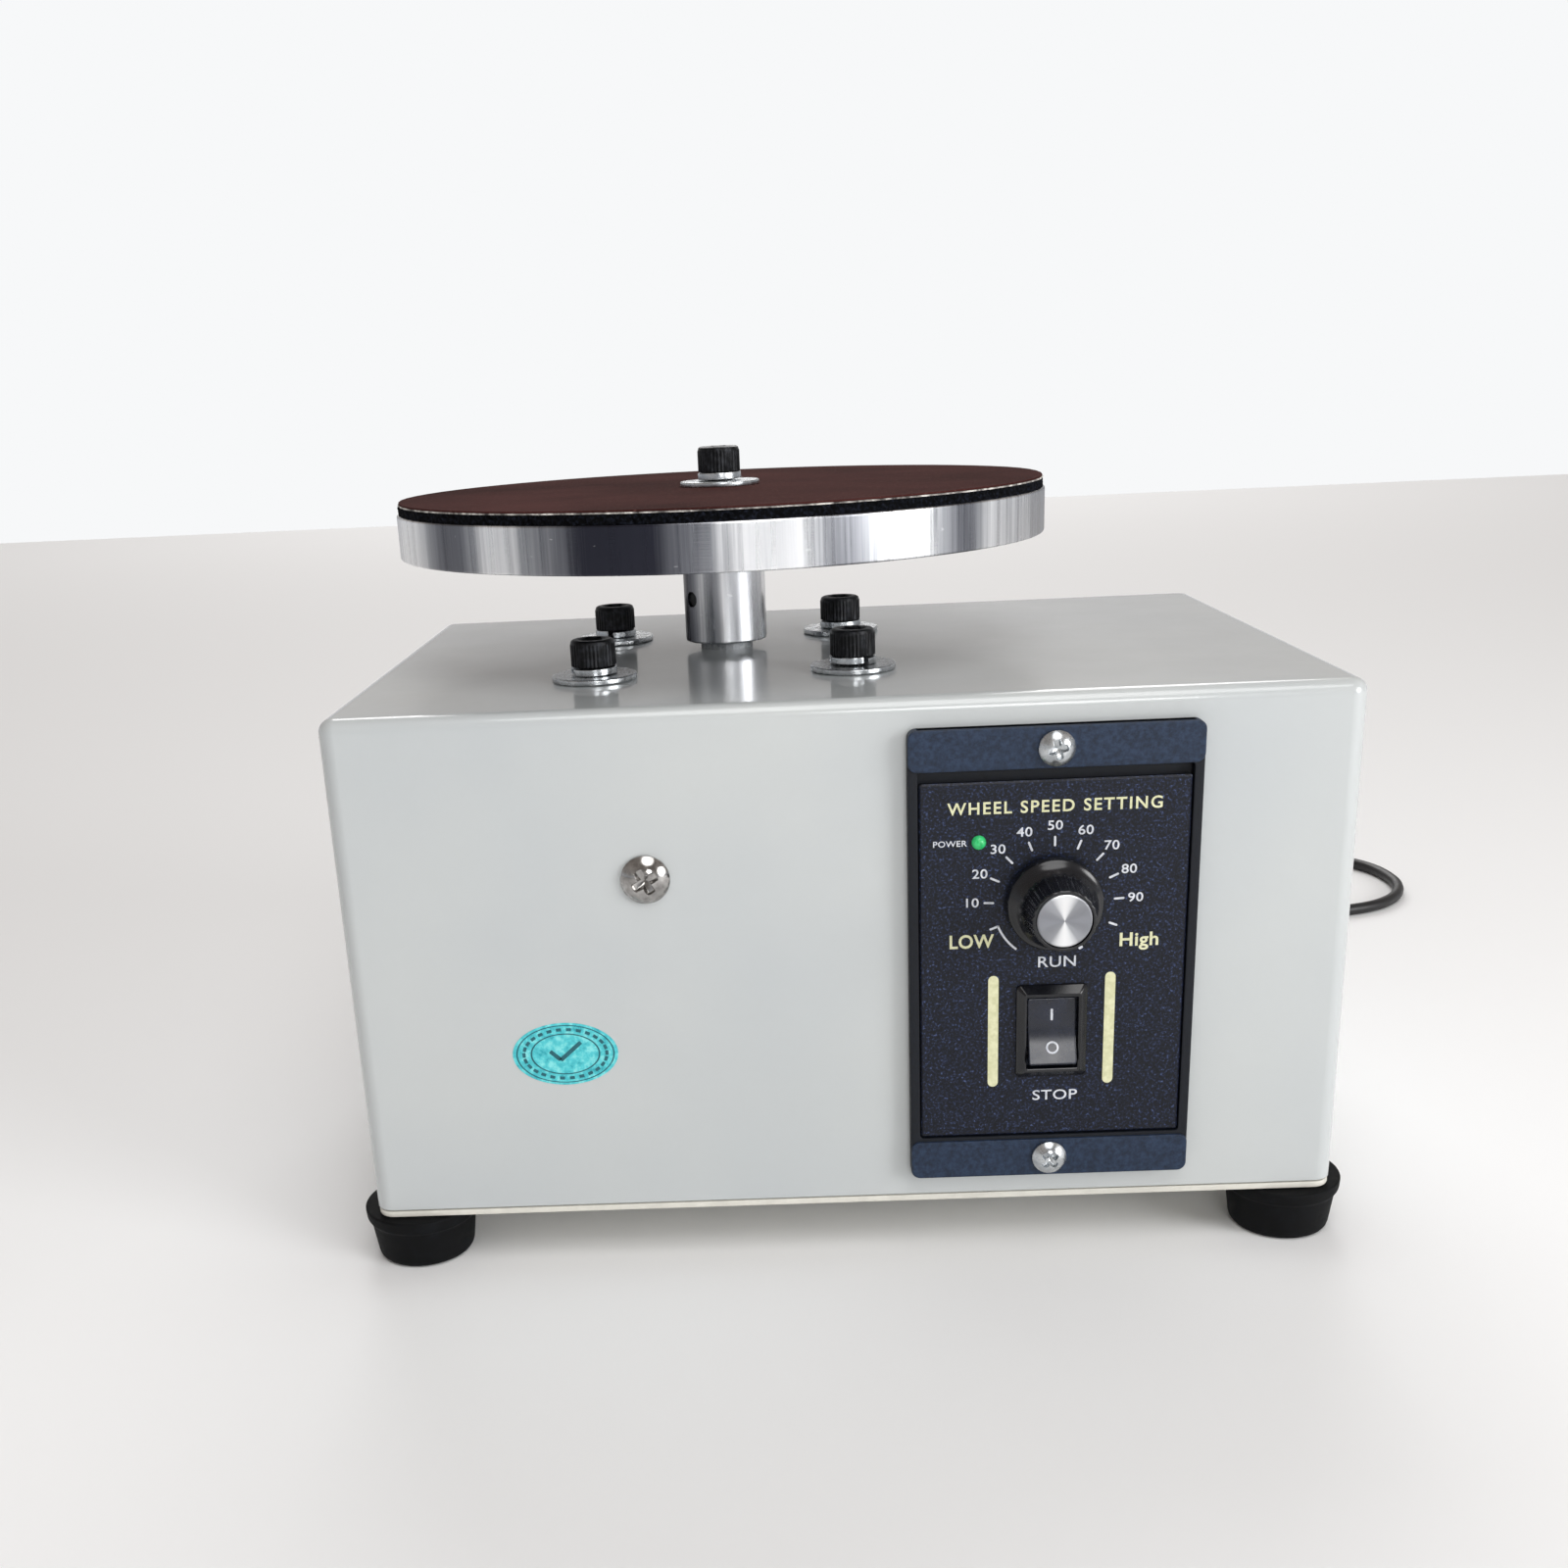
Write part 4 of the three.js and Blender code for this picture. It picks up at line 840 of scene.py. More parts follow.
def springWasherGrid(centre, bottom, thickness, start, settings=springSettings):
    # A square wire along an arc of a turn that rises a fifth of its thickness.
    a = start + np.linspace(0, math.radians(settings["arc"]), settings["steps"])
    inner, outer = settings["inner"], settings["outer"]
    r = (inner + outer) / 2
    z = bottom + thickness * (0.5 + settings["rise"] * (a - a[0]) / (2 * np.pi))
    path = np.stack([centre[0] + r * np.cos(a), centre[1] + r * np.sin(a), z], -1)
    wire = roundedOutline(outer - inner, thickness * settings["fill"], settings["corner"], 3)
    return sweep(path, wire)


def panScrewGrid(node, headRadius, headHeight, shank, length, crossTurn, settings=crossSettings):
    # The dome falls off as 1 - (r/R)^p; the cross recess is two bars, softened at their edges.
    centre = middle(node)
    seat = box(node)[0][1] + headHeight
    reach = np.concatenate([np.linspace(0, 0.6, 46), np.linspace(0.62, 1, 16)])
    angle = wholeTurn(144)
    rr, aa = np.meshgrid(reach, angle, indexing="ij")
    x, z = rr * headRadius * np.cos(aa), rr * headRadius * np.sin(aa)
    rim = settings["rim"]
    front = seat - headHeight * (rim + (1 - rim) * (1 - rr ** settings["domePower"]))
    cx = x * math.cos(crossTurn) + z * math.sin(crossTurn)
    cz = -x * math.sin(crossTurn) + z * math.cos(crossTurn)
    bar = settings["bar"] * headRadius

    def soft(distance):
        t = np.clip((bar - np.abs(distance)) / (settings["softness"] * bar), 0, 1)
        return t * t * (3 - 2 * t)

    within = np.clip((settings["reach"] - rr) / settings["fade"], 0, 1)
    depth = headHeight * settings["depth"] * (1 - settings["taper"] * rr / settings["reach"])
    recess = np.maximum(soft(cx), soft(cz)) * within * depth
    dome = np.stack([x + centre[0], front + recess, z + centre[2]], -1)
    rows = [(headRadius, seat), (shank, seat), (shank, seat + length), (0, seat + length)]
    return np.concatenate([dome, lathe(rows, centre * (1, 0, 1), "y", 144)])


def addFasteners():
    for corner in corners:
        node = "motor_screw_" + corner
        mesh = surface("motorScrew", [capScrewGrid(node)])
        addPiece("motorScrew_" + corner, mesh, "blackSteel", "housing", [node])
        place = middle(node)
        node = "motor_washer_" + corner
        mesh = surface("motorWasher", [washerGrid(node)])
        addPiece("motorWasher_" + corner, mesh, "zinc", "housing", [node])
        start = float(rng.uniform(0, 6))
        ring = springWasherGrid(place, box(node)[1][2], springSettings["motorThickness"], start)
        mesh = surface("springWasher", [ring])
        addPiece("motorSpringWasher_" + corner, mesh, "zinc", "housing")
    for node, (name, finish, *sizes) in panScrews.items():
        mesh = surface(name, [panScrewGrid(node, *sizes)])
        addPiece(name, mesh, finish, "housing", [node])


addFasteners()
print("fasteners done")


# wheel head
wheelSettings = {
    "bore": 8.4,
    "chamfer": 0.5,
    "centreHole": 3.6,  # through the pad and the sheet
    "padProud": 0.15,  # how far the loops stand into the sheet's backing
    "padRipple": 0.35,  # how far the pad's loops stand in and out at its edge
    "sheetRipple": 0.22,
    "backing": 0.18,
    "edgeShare": 0.97,  # where the flat faces end and the rippled edge begins
    "pressed": (9.8, 10.1, 0.05),  # inner and outer radius under the washer, depth
}
hubSettings = {
    "radius": 10,
    "spigot": 8.2,
    "shaftBore": 5.15,
    "screwBore": 3.2,
    "shaftDepth": 12,  # from the top
    "clearance": 0.02,
    "fillet": 0.5,
    "drill": 1.75,
    "drillDepth": 3,
}
wheelLow, wheelHigh = box("wheel_disc")
wheelAxis = middle("wheel_disc") * (1, 1, 0)


def addDisc(settings):
    # A turned rectangle with both outer edges chamfered.
    radius, bore = (wheelHigh[0] - wheelLow[0]) / 2, settings["bore"]
    low, high = wheelLow[2], wheelHigh[2]
    profile = [(bore, low), (radius, low), (radius, high), (bore, high)]
    rows = closedProfile(profile, (0, settings["chamfer"], settings["chamfer"], 0))
    mesh = surface("wheelDisc", [lathe(rows, wheelAxis, "z", 256)])
    addPiece("wheelDisc", mesh, "disc", "wheel", ["wheel_disc"])


def addPad(settings):
    # The edge is a fringe of loops: r less a sum of cosines of many counts round the edge, each
    # with its own start and sliding with the height.
    low, high = box("hook_pad")
    radius = (high[0] - low[0]) / 2
    phases = rng.uniform(0, 2 * np.pi, 12)
    counts = rng.integers(60, 330, 12)

    def fringe(angle, r, h):
        wave = sum(np.cos(n * angle + p + h * 2.5) for n, p in zip(counts, phases)) / 6
        return np.where(r > radius * 0.98, r - settings["padRipple"] * (0.8 + wave), r)

    bottom, top = wheelHigh[2], high[2] + settings["padProud"]
    hole, flat = settings["centreHole"], radius * settings["edgeShare"]
    rows = [(hole, bottom), (flat, bottom)] + [(radius, h) for h in np.linspace(bottom, top, 7)]
    rows += [(flat, top), (hole, top), (hole, bottom)]
    mesh = surface("hookPad", [lathe(rows, wheelAxis, "z", 900, fringe)], sharp=60)
    addPiece("hookPad", mesh, "hook", "wheel", ["hook_pad"])


def addSheet(settings):
    # A thin paper-edged backing with the grit on top; the edge is punched a bit wavy, r less a
    # sum of three cosines, and the washer presses the cloth down a little.
    low, high = box("grip_sheet")
    radius = (high[0] - low[0]) / 2

    def wavy(angle, r, h):
        wave = np.cos(7 * angle + 1) + 0.6 * np.cos(13 * angle) + 0.5 * np.cos(61 * angle + 2)
        return np.where(r > radius * 0.98, r - settings["sheetRipple"] * (1 + wave / 2.1), r)

    inner, outer, depth = settings["pressed"]
    seat = box("centre_washer")[0][2] - depth
    bottom = box("hook_pad")[1][2] + settings["padProud"]
    join = low[2] + settings["backing"]
    hole = settings["centreHole"]
    for name, finish, z1, z2, shrink, nodes in (
        ("sheetBacking", "backing", bottom, join, 0, []),
        ("gripSheet", "grit", join, high[2], 0.2, ["grip_sheet"]),
    ):
        r = radius - shrink
        flat = r * settings["edgeShare"]
        rows = [(hole, z1), (flat, z1), (r, z1 + 0.02), (r, z2 - 0.05), (r - 0.1, z2)]
        rows += [(flat, z2), (outer, z2), (inner, min(z2, seat)), (hole, min(z2, seat)), (hole, z1)]
        mesh = surface(name, [lathe(rows, wheelAxis, "z", 720, wavy)])
        addPiece(name, mesh, finish, "wheel", nodes)


def addHub(settings):
    # A turned profile, drilled for the grub screw: near the hole's axis r falls to its floor.
    low, high = box("wheel_hub")
    screw = middle("hub_set_screw")
    radius, spigot, bore = settings["radius"], settings["spigot"], settings["screwBore"]
    shaft, step = settings["shaftBore"], high[2] - settings["shaftDepth"]
    seat = wheelLow[2] - settings["clearance"]
    profile = [(shaft, low[2]), (radius, low[2]), (radius, seat), (spigot, seat)]
    profile += [(spigot, high[2]), (bore, high[2]), (bore, step), (shaft, step)]
    rows = closedProfile(profile, (0, settings["fillet"], 0, 0, 0, 0, 0, 0))
    split = int(np.argmax(rows[:, 0] >= radius - 1e-9)) + 1
    levels = screw[2] + np.linspace(-2, 2, 21)
    rows = np.concatenate([rows[:split], np.c_[np.full(21, radius), levels], rows[split:]])
    holeAngle = math.atan2(screw[1] - wheelAxis[1], screw[0] - wheelAxis[0])

    def drilled(angle, r, h):
        off = np.mod(angle - holeAngle + np.pi, 2 * np.pi) - np.pi
        near = np.hypot(off * radius, h - screw[2]) < settings["drill"]
        return np.where(near & (r > radius - 0.1), radius - settings["drillDepth"], r)

    mesh = surface("wheelHub", [lathe(rows, wheelAxis, "z", 256, drilled)])
    addPiece("wheelHub", mesh, "hub", "wheel", ["wheel_hub"])


def addCentreScrew(settings):
    mesh = surface("centreWasher", [washerGrid("centre_washer")])
    addPiece("centreWasher", mesh, "zinc", "wheel", ["centre_washer"])
    top = box("centre_washer")[1][2]
    ring = springWasherGrid(wheelAxis, top, settings["centreThickness"], settings["centreStart"])
    mesh = surface("centreSpringWasher", [ring])
    addPiece("centreSpringWasher", mesh, "zinc", "wheel")
    mesh = surface("centreScrew", [capScrewGrid("centre_screw")])
    addPiece("centreScrew", mesh, "blackSteel", "wheel", ["centre_screw"])


addDisc(wheelSettings)
addPad(wheelSettings)
addSheet(wheelSettings)
addHub(hubSettings)
addCentreScrew(springSettings)
print("wheel head done")


# speed controller
controllerSettings = {
    "flange": 8.7,
    "corner": 2,
    "rim": 0.45,  # how far the moulding's rim lies behind the flanges
    "soft": 0.35,
    "floor": 0.4,
    "gap": 0.25,  # between the plate and the recess
    "recessCorner": 0.6,
    "ledge": 0.8,
    "window": (50, 72),
    "behindPlate": 0.1,
}
plateSettings = {"corner": 0.6, "edge": 0.3, "faceCorner": 0.4, "drawnIn": (0.7, 0.8)}
frameLow, frameHigh = box("controller_frame")
plateLow, plateHigh = box("controller_plate")
knobAt, switchAt = middle("speed_knob"), middle("switch_frame")
panelX, panelZ = middle("controller_frame")[[0, 2]]


def addControllerFrame(settings):
    # Rounded rectangles along y: outer wall, rim, recess wall, recess floor, window and back.
    back = frameHigh[1]
    width, height = frameHigh[0] - frameLow[0], frameHigh[2] - frameLow[2]
    gap, corner, inner = settings["gap"], settings["corner"], settings["recessCorner"]
    wide, tall = plateHigh[0] - plateLow[0] + 2 * gap, plateHigh[2] - plateLow[2] + 2 * gap
    shift = (plateHigh[2] + plateLow[2]) / 2 - panelZ
    rim = frameLow[1] + settings["rim"]
    soft = rim + settings["soft"]
    floor = back - settings["floor"]
    # a dark groove runs between the plate's top edge and the upper flange
    groove = frameHigh[2] - settings["flange"] - plateHigh[2] - gap
    openTall, openShift = tall + groove, shift + groove / 2
    ledge, behind = settings["ledge"], plateHigh[1] + settings["behindPlate"]
    window = (*settings["window"], inner, shift)
    rings = [
        (back, width, height, corner),
        (soft, width, height, corner),
        (rim + 0.1, width - 0.2, height - 0.2, corner - 0.1),
        (rim, width - 0.7, height - 0.7, corner - 0.3),
        (rim, wide + 0.7, openTall + 0.1, inner + 0.4, openShift),
        (rim + 0.1, wide + 0.2, openTall + 0.05, inner + 0.2, openShift),
        (soft, wide, openTall, inner, openShift),
        (floor, wide, openTall, inner, openShift),
        (floor, wide - ledge, tall - ledge, inner, shift),
        (behind, wide - ledge, tall - ledge, inner, shift),
        (behind, *window),
        (back, *window),
        (back, width, height, corner),
    ]
    mesh = surface("controllerFrame", [loft(rings, (panelX, 0, panelZ), "y", True)])
    # painted shade: the frame takes the moulding coloured nearly black for the plate's shade
    addPiece("controllerFrame", mesh, "absPaintedShade", "housing", ["controller_frame"])


def addFlanges(settings):
    # The two flanges stand a little prouder than the rim: eased rounded rectangles along y.
    front, back = frameLow[1], frameHigh[1]
    width, tall = frameHigh[0] - frameLow[0], settings["flange"]
    grids = []
    for side in (1, -1):
        z = side * (frameHigh[2] - frameLow[2] - tall) / 2
        flange = [
            (back - 0.4, width - 0.1, tall, 1.9, z),
            (front + settings["soft"], width - 0.05, tall, 1.9, z),
            (front + 0.1, width - 0.3, tall - 0.2, 1.8, z),
            (front, width - 0.9, tall - 0.8, 1.6, z),
        ]
        grids.append(loft(flange, (panelX, 0, panelZ), "y"))
    mesh = surface("controllerFlanges", grids)
    addPiece("controllerFlanges", mesh, "abs", "housing")


def addPlate(settings):
    # A rounded rectangle along y, its front edge sloped back.
    width, height = plateHigh[0] - plateLow[0], plateHigh[2] - plateLow[2]
    across, down = settings["drawnIn"]
    rings = [
        (plateHigh[1], width, height, settings["corner"]),
        (plateLow[1] + settings["edge"], width, height, settings["corner"]),
        (plateLow[1], width - across, height - down, settings["faceCorner"]),
    ]
    centre = (panelX, 0, (plateHigh[2] + plateLow[2]) / 2)
    mesh = surface("controllerPlate", [loft(rings, centre, "y")])
    addPiece("controllerPlate", mesh, "plate", "housing", ["controller_plate"])


# print on the plate
printSettings = {
    "ink": 0.05,  # thickness
    "lift": 0.01,
    "dialCentre": (0.1, -0.5),  # from the knob's middle
    "ticks": (12.4, 14.6),
    "tickWidth": 0.45,
    "labelRadius": 16.9,
    "degreesPerTen": 21.8,
    "numbers": (1.95, 0.03, 1.15, 1.05),  # height, weight, stretch, spacing
    "dialEnds": (201.5, -21.5),
    "endTick": (0.9, 2),  # how far out from the ticks' inner end, length
    "lowArc": (201, 232),
    "bars": (12.3, 2.2, 25.5),  # from the switch's middle, width, height
}
# words, ink, x, z, height, weight, stretch, spacing
panelWords = [
    ("WHEEL SPEED SETTING", "cream", panelX - 0.1, 103.2, 2.5, 0.06, 1, 1.2),
    ("LOW", "cream", 26.5, 74.5, 2.9, 0.08, 0.94, 1.05),
    ("High", "cream", 61.4, 73.3, 2.9, 0.08, 1.05, 1.05),
    ("RUN", "white", knobAt[0] + 1, 69.4, 2.4, 0.02, 1.15, 1.05),
    ("STOP", "white", knobAt[0] + 1.1, 38.8, 2.3, 0.02, 1.2, 1.05),
    ("POWER", "white", *(middle("run_lamp")[[0, 2]] - (5.9, 0.1)), 1.25, 0.02, 1.1, 1.05),
]


def onPlate(points, x, z, stretch=1):
    # text's x stays x, its up becomes z, and its face looks to the front
    out = np.stack([x + points[:, 0] * stretch, -points[:, 2], z + points[:, 1]], -1)
    out[:, 1] += plateLow[1] - printSettings["ink"] / 2 - printSettings["lift"]
    return out


def textPart(words, x, z, size, weight, stretch, spacing):
    # The built-in font's outline as vertices and faces, its middle at the origin, size = height
    # of a capital; made a mesh here so that its place is in its vertices.
    curve = bpy.data.curves.new("words", "FONT")
    curve.body = words
    curve.size = size * mm / 0.7  # a capital is 0.7 of the font's size
    curve.offset = weight * mm
    curve.space_character = spacing
    curve.extrude = printSettings["ink"] * mm / 2
    curve.resolution_u = 4
    holder = bpy.data.objects.new("words", curve)
    bpy.context.scene.collection.objects.link(holder)
    bpy.context.view_layer.update()
    mesh = bpy.data.meshes.new_from_object(holder)
    points = np.empty(len(mesh.vertices) * 3)
    mesh.vertices.foreach_get("co", points)
    points = points.reshape(-1, 3) / mm
    faces = [tuple(p.vertices) for p in mesh.polygons]
    points[:, :2] -= (points[:, :2].min(0) + points[:, :2].max(0)) / 2
    bpy.data.objects.remove(holder)
    bpy.data.meshes.remove(mesh)
    return onPlate(points, x, z, stretch), faces


def inkPiece(name, parts, finish, body="housing"):
    # parts: (points, faces) already in place, joined into one mesh
    points, faces, start = [], [], 0
    for p, f in parts:
        points.append(p)
        faces += [tuple(i + start for i in face) for face in f]
        start += len(p)
    mesh = bpy.data.meshes.new(name)
    mesh.from_pydata((np.concatenate(points) * mm).tolist(), [], faces)
    addPiece(name, mesh, finish, body)


def barPart(x, z, width, height, turn=0, steps=6):
    # a flat bar with round ends, turned about its middle
    flat = roundedOutline(width, height, min(width, height) / 2 * 0.98, steps)[:-1]
    c, s = math.cos(turn), math.sin(turn)
    flat = flat @ np.array([[c, s], [-s, c]])
    half = printSettings["ink"] / 2
    points = np.concatenate([np.c_[flat, np.full(len(flat), level)] for level in (half, -half)])
    n = len(flat)
    sides = [(i, i + n, (i + 1) % n + n, (i + 1) % n) for i in range(n)]
    faces = [tuple(range(n)), tuple(range(2 * n - 1, n - 1, -1))] + sides
    return onPlate(points, x, z), faces


def arcPart(x, z, radius, start, end, width, steps=16):
    # a flat arc from start to end degrees, r (cos a, sin a) at four corners of its section
    a = np.radians(np.linspace(start, end, steps))
    half, reach = printSettings["ink"] / 2, width / 2
    rings = []
    for side, level in ((-reach, half), (reach, half), (reach, -half), (-reach, -half)):
        r = radius + side
        rings.append(np.stack([r * np.cos(a), r * np.sin(a), np.full(steps, level)], -1))
    points = np.stack(rings, 1).reshape(-1, 3)
    faces = [(0, 1, 2, 3), tuple(4 * (steps - 1) + k for k in (3, 2, 1, 0))]
    for i in range(0, 4 * (steps - 1), 4):
        faces += [(i + k, i + 4 + k, i + 4 + (k + 1) % 4, i + (k + 1) % 4) for k in range(4)]
    return onPlate(points, x, z), faces


def addPrint(settings):
    x0, z0 = knobAt[0] + settings["dialCentre"][0], knobAt[2] + settings["dialCentre"][1]
    ink = {"white": [], "cream": []}

    def around(angle, r):
        return x0 + r * math.cos(angle), z0 + r * math.sin(angle)

    for words, colour, *rest in panelWords:
        ink[colour].append(textPart(words, *rest))
    inner, outer = settings["ticks"]
    width = settings["tickWidth"]
    for value in range(10, 100, 10):
        a = math.radians(90 - settings["degreesPerTen"] * (value - 50) / 10)
        place = around(a, (inner + outer) / 2)
        ink["white"].append(barPart(*place, outer - inner, width, a))
        place = around(a, settings["labelRadius"])
        ink["white"].append(textPart(str(value), *place, *settings["numbers"]))
    # the ends of the dial: a short tick each, and an arc that leads from the low end
    out, length = settings["endTick"]
    for a in map(math.radians, settings["dialEnds"]):
        ink["white"].append(barPart(*around(a, inner + out), length, width, a))
    ink["white"].append(arcPart(x0, z0, inner, *settings["lowArc"], width))
    offset, wide, tall = settings["bars"]
    for side in (-1, 1):
        ink["cream"].append(barPart(switchAt[0] + side * offset, switchAt[2], wide, tall))
    inkPiece("panelPrintWhite", ink["white"], "whiteInk")
    inkPiece("panelPrintCream", ink["cream"], "creamInk")


def addLamp(domeHeight):
    # A half ellipse turned about its axis: (r sin f, height (1 - cos f)), on a short cylinder.
    low, high = box("run_lamp")
    radius = (high[0] - low[0]) / 2
    f = np.linspace(0, np.pi / 2, 10)
    rows = [(radius * math.sin(a), low[1] + domeHeight * (1 - math.cos(a))) for a in f]
    rows += [(radius, high[1]), (0, high[1])]
    mesh = surface("runLamp", [lathe(rows, middle("run_lamp") * (1, 0, 1), "y", 48)])
    addPiece("runLamp", mesh, "lens", "housing", ["run_lamp"])


addControllerFrame(controllerSettings)
addFlanges(controllerSettings)
addPlate(plateSettings)
addPrint(printSettings)
addLamp(1.4)
print("controller plate done")


# knob
knobSettings = {
    "bore": 3.1,
    "skirt": ((10, 0), (10, 1.9), (8.6, 2.8), (7.3, 4.6)),  # radius, distance from the plate
    "tip": (6.5, 5.75),
    "capSeat": (1, 1.9),
    "fillets": (0, 0.25, 0.5, 0.8, 0.8, 0.4, 0.1, 0, 0),
    "flutes": 24,
    "fluteDepth": 0.14,
    "fluted": (4.2, 6.2),  # distance from the plate, least radius
    "capDome": 0.18,
    "capEdge": ((0.985, 0.22), (1, 0.4), (1, 0.9), (0, 0.9)),  # share of the radius, depth
    "pointer": -60,  # degrees
    "pointerSize": (0.9, 0.9, 0.2),
    "pointerTip": ((0.1, 6.25), (0.3, 6.45)),  # distance from the tip, from the axis
    "pointerFoot": ((5.2, 7), (5, 6.8)),  # distance from the plate, from the axis
}


def turnedPart(grid, angle, x, z):
    # a grid turned about the y axis through the origin and then moved to x, z
    c, s = math.cos(angle), math.sin(angle)
    out = grid.copy()
    out[..., 0] = grid[..., 0] * c - grid[..., 2] * s + x
    out[..., 2] = grid[..., 0] * s + grid[..., 2] * c + z
    return out


def addKnob(settings):
    # A turned profile whose grip is fluted: r less depth (1 + cos n a) / 2.
    low, high = box("speed_knob")
    axis = middle("potentiometer_shaft") * (1, 0, 1)
    plate, tip = high[1], low[1]
    bore, (outer, rim), (seat, inside) = settings["bore"], settings["tip"], settings["capSeat"]
    profile = [(bore, plate)] + [(r, plate - y) for r, y in settings["skirt"]]
    profile += [(outer, tip), (rim, tip), (rim, tip + seat), (0, tip + seat)]
    rows = filleted(profile, settings["fillets"])
    rows = np.concatenate([rows, [(0, tip + inside), (bore, tip + inside), (bore, plate)]])
    grip, least = settings["fluted"]

    def fluted(angle, r, h):
        cut = settings["fluteDepth"] * (1 + np.cos(settings["flutes"] * angle)) / 2
        return np.where((h < plate - grip) & (r > least), r - cut, r)

    mesh = surface("speedKnob", [lathe(rows, axis, "y", 192, fluted)])
    addPiece("speedKnob", mesh, "glossAbs", "knob", ["speed_knob"])

    # the cap's face falls off as 1 - t^2 / 2
    low, high = box("knob_cap")
    radius = (high[0] - low[0]) / 2
    dome = settings["capDome"]
    rows = [(radius * t, tip + dome * (1 - 0.5 * t * t)) for t in np.linspace(0, 0.94, 24)]
    rows += [(radius * share, tip + depth) for share, depth in settings["capEdge"]]
    mesh = surface("knobCap", [lathe(rows, axis, "y", 128)], "spun")
    addPiece("knobCap", mesh, "spun", "knob", ["knob_cap"])

    # the white pointer line down the knob's side, from the tip to the skirt
    places = [(tip + y, reach) for y, reach in settings["pointerTip"]]
    places += [(plate - y, reach) for y, reach in settings["pointerFoot"]]
    line = loft([(y, *settings["pointerSize"], -reach) for y, reach in places], (0, 0, 0), "y")
    turn = math.radians(settings["pointer"] + 90)
    mesh = surface("knobPointer", [turnedPart(line, turn, axis[0], axis[2])])
    addPiece("knobPointer", mesh, "whiteInk", "knob")


addKnob(knobSettings)
print("knob done")


# switch
bezelSettings = {
    "size": (15, 21),
    "window": (10.6, 15.8),
    # place from the front, smaller than the size by, corner
    "outside": ((1.5, 0, 1), (1.3, 0.2, 0.95), (0.15, 2.9, 0.5), (0, 3.2, 0.45)),
    # place from the front, wider and taller than the window by, corner
    "mouth": ((0, 0.9, 1, 0.4), (0.15, 0.4, 0.5, 0.35), (1, 0, 0, 0.3)),
    "back": 3,
    "backHole": (2, 2, 0.3),
    "body": (12.8, 18.8, 0.3),
}
rockerSettings = {
    "tilt": -12,  # degrees
    "pivot": 2,  # behind the bezel's front
    "width": 10,
    "half": 7.45,
    "end": 2,  # how far each end stands out, and the valley's floor
    "valley": 0.9,
    # distance in from an end, depth behind the pivot
    "side": ((0, -0.4), (0.5, 2)),
    "heel": (3, 5),
    "fillets": (0.4, 3, 0.4, 0.3, 0.5, 0.5, 0.5, 0.5, 0.3),
    # distance in from the rocker's side, share of the outline
    "ends": ((0, 0), (0, 0.94), (0.08, 0.975), (0.3, 1)),
}
markSettings = {"thick": 0.06, "along": 3.6, "bar": (0.5, 2.6, 0.2), "ring": (0.95, 1.35), "steps": 40}


def addBezel(settings):
    # Rounded rectangles along y: the body behind the plate, the sloping bezel and the window.
    low, high = box("switch_frame")
    rim, front, back = plateLow[1] - 0.05, low[1], high[1]
    (w, h), (ww, wh) = settings["size"], settings["window"]
    rings = [(rim, w, h, 1)]
    rings += [(front + y, w - less, h - less, corner) for y, less, corner in settings["outside"]]
    rings += [(front + y, ww + a, wh + b, corner) for y, a, b, corner in settings["mouth"]]
    rings += [(back - settings["back"], ww, wh, rings[-1][3])]
    rings += [(back - settings["back"], *settings["backHole"]), (back, *settings["backHole"])]
    rings += [(back, *settings["body"]), (rim, *settings["body"])]
    mesh = surface("switchFrame", [loft(rings, switchAt * (1, 0, 1), "y", True)])
    addPiece("switchFrame", mesh, "glossAbs", "housing", ["switch_frame"])


def onRocker(across, up, inward, settings=rockerSettings):
    # the rocker's own across, up and inward, tilted about its pivot
    tilt = math.radians(settings["tilt"])
    y = inward * math.cos(tilt) - up * math.sin(tilt)
    z = inward * math.sin(tilt) + up * math.cos(tilt)
    pivot = box("switch_frame")[0][1] + settings["pivot"]
    return np.stack([switchAt[0] + across, pivot + y, switchAt[2] + z], -1)


def addRocker(settings):
    # Two slopes that meet in a shallow valley, carried across its width with the outline drawn
    # in a little at both ends.
    half, end, reach = settings["half"], settings["end"], settings["width"] / 2
    side, heel = settings["side"], settings["heel"]
    profile = [(0.2 - half, -end), (0, -settings["valley"]), (half - 0.2, -end)]
    profile += [(half - inset, y) for inset, y in side] + [heel, (-heel[0], heel[1])]
    profile += [(inset - half, y) for inset, y in reversed(side)]
    outline = closedProfile(profile, settings["fillets"])
    stations = [(inset - reach, share) for inset, share in settings["ends"]]
    stations += [(reach - inset, share) for inset, share in reversed(settings["ends"])]
    grids = []
    for across, share in stations:
        up, inward = outline.T * share
        grids.append(onRocker(np.full(len(up), across), up, inward))
    mesh = surface("switchRocker", [np.array(grids)])
    addPiece("switchRocker", mesh, "rocker", "rocker", ["switch_rocker"])


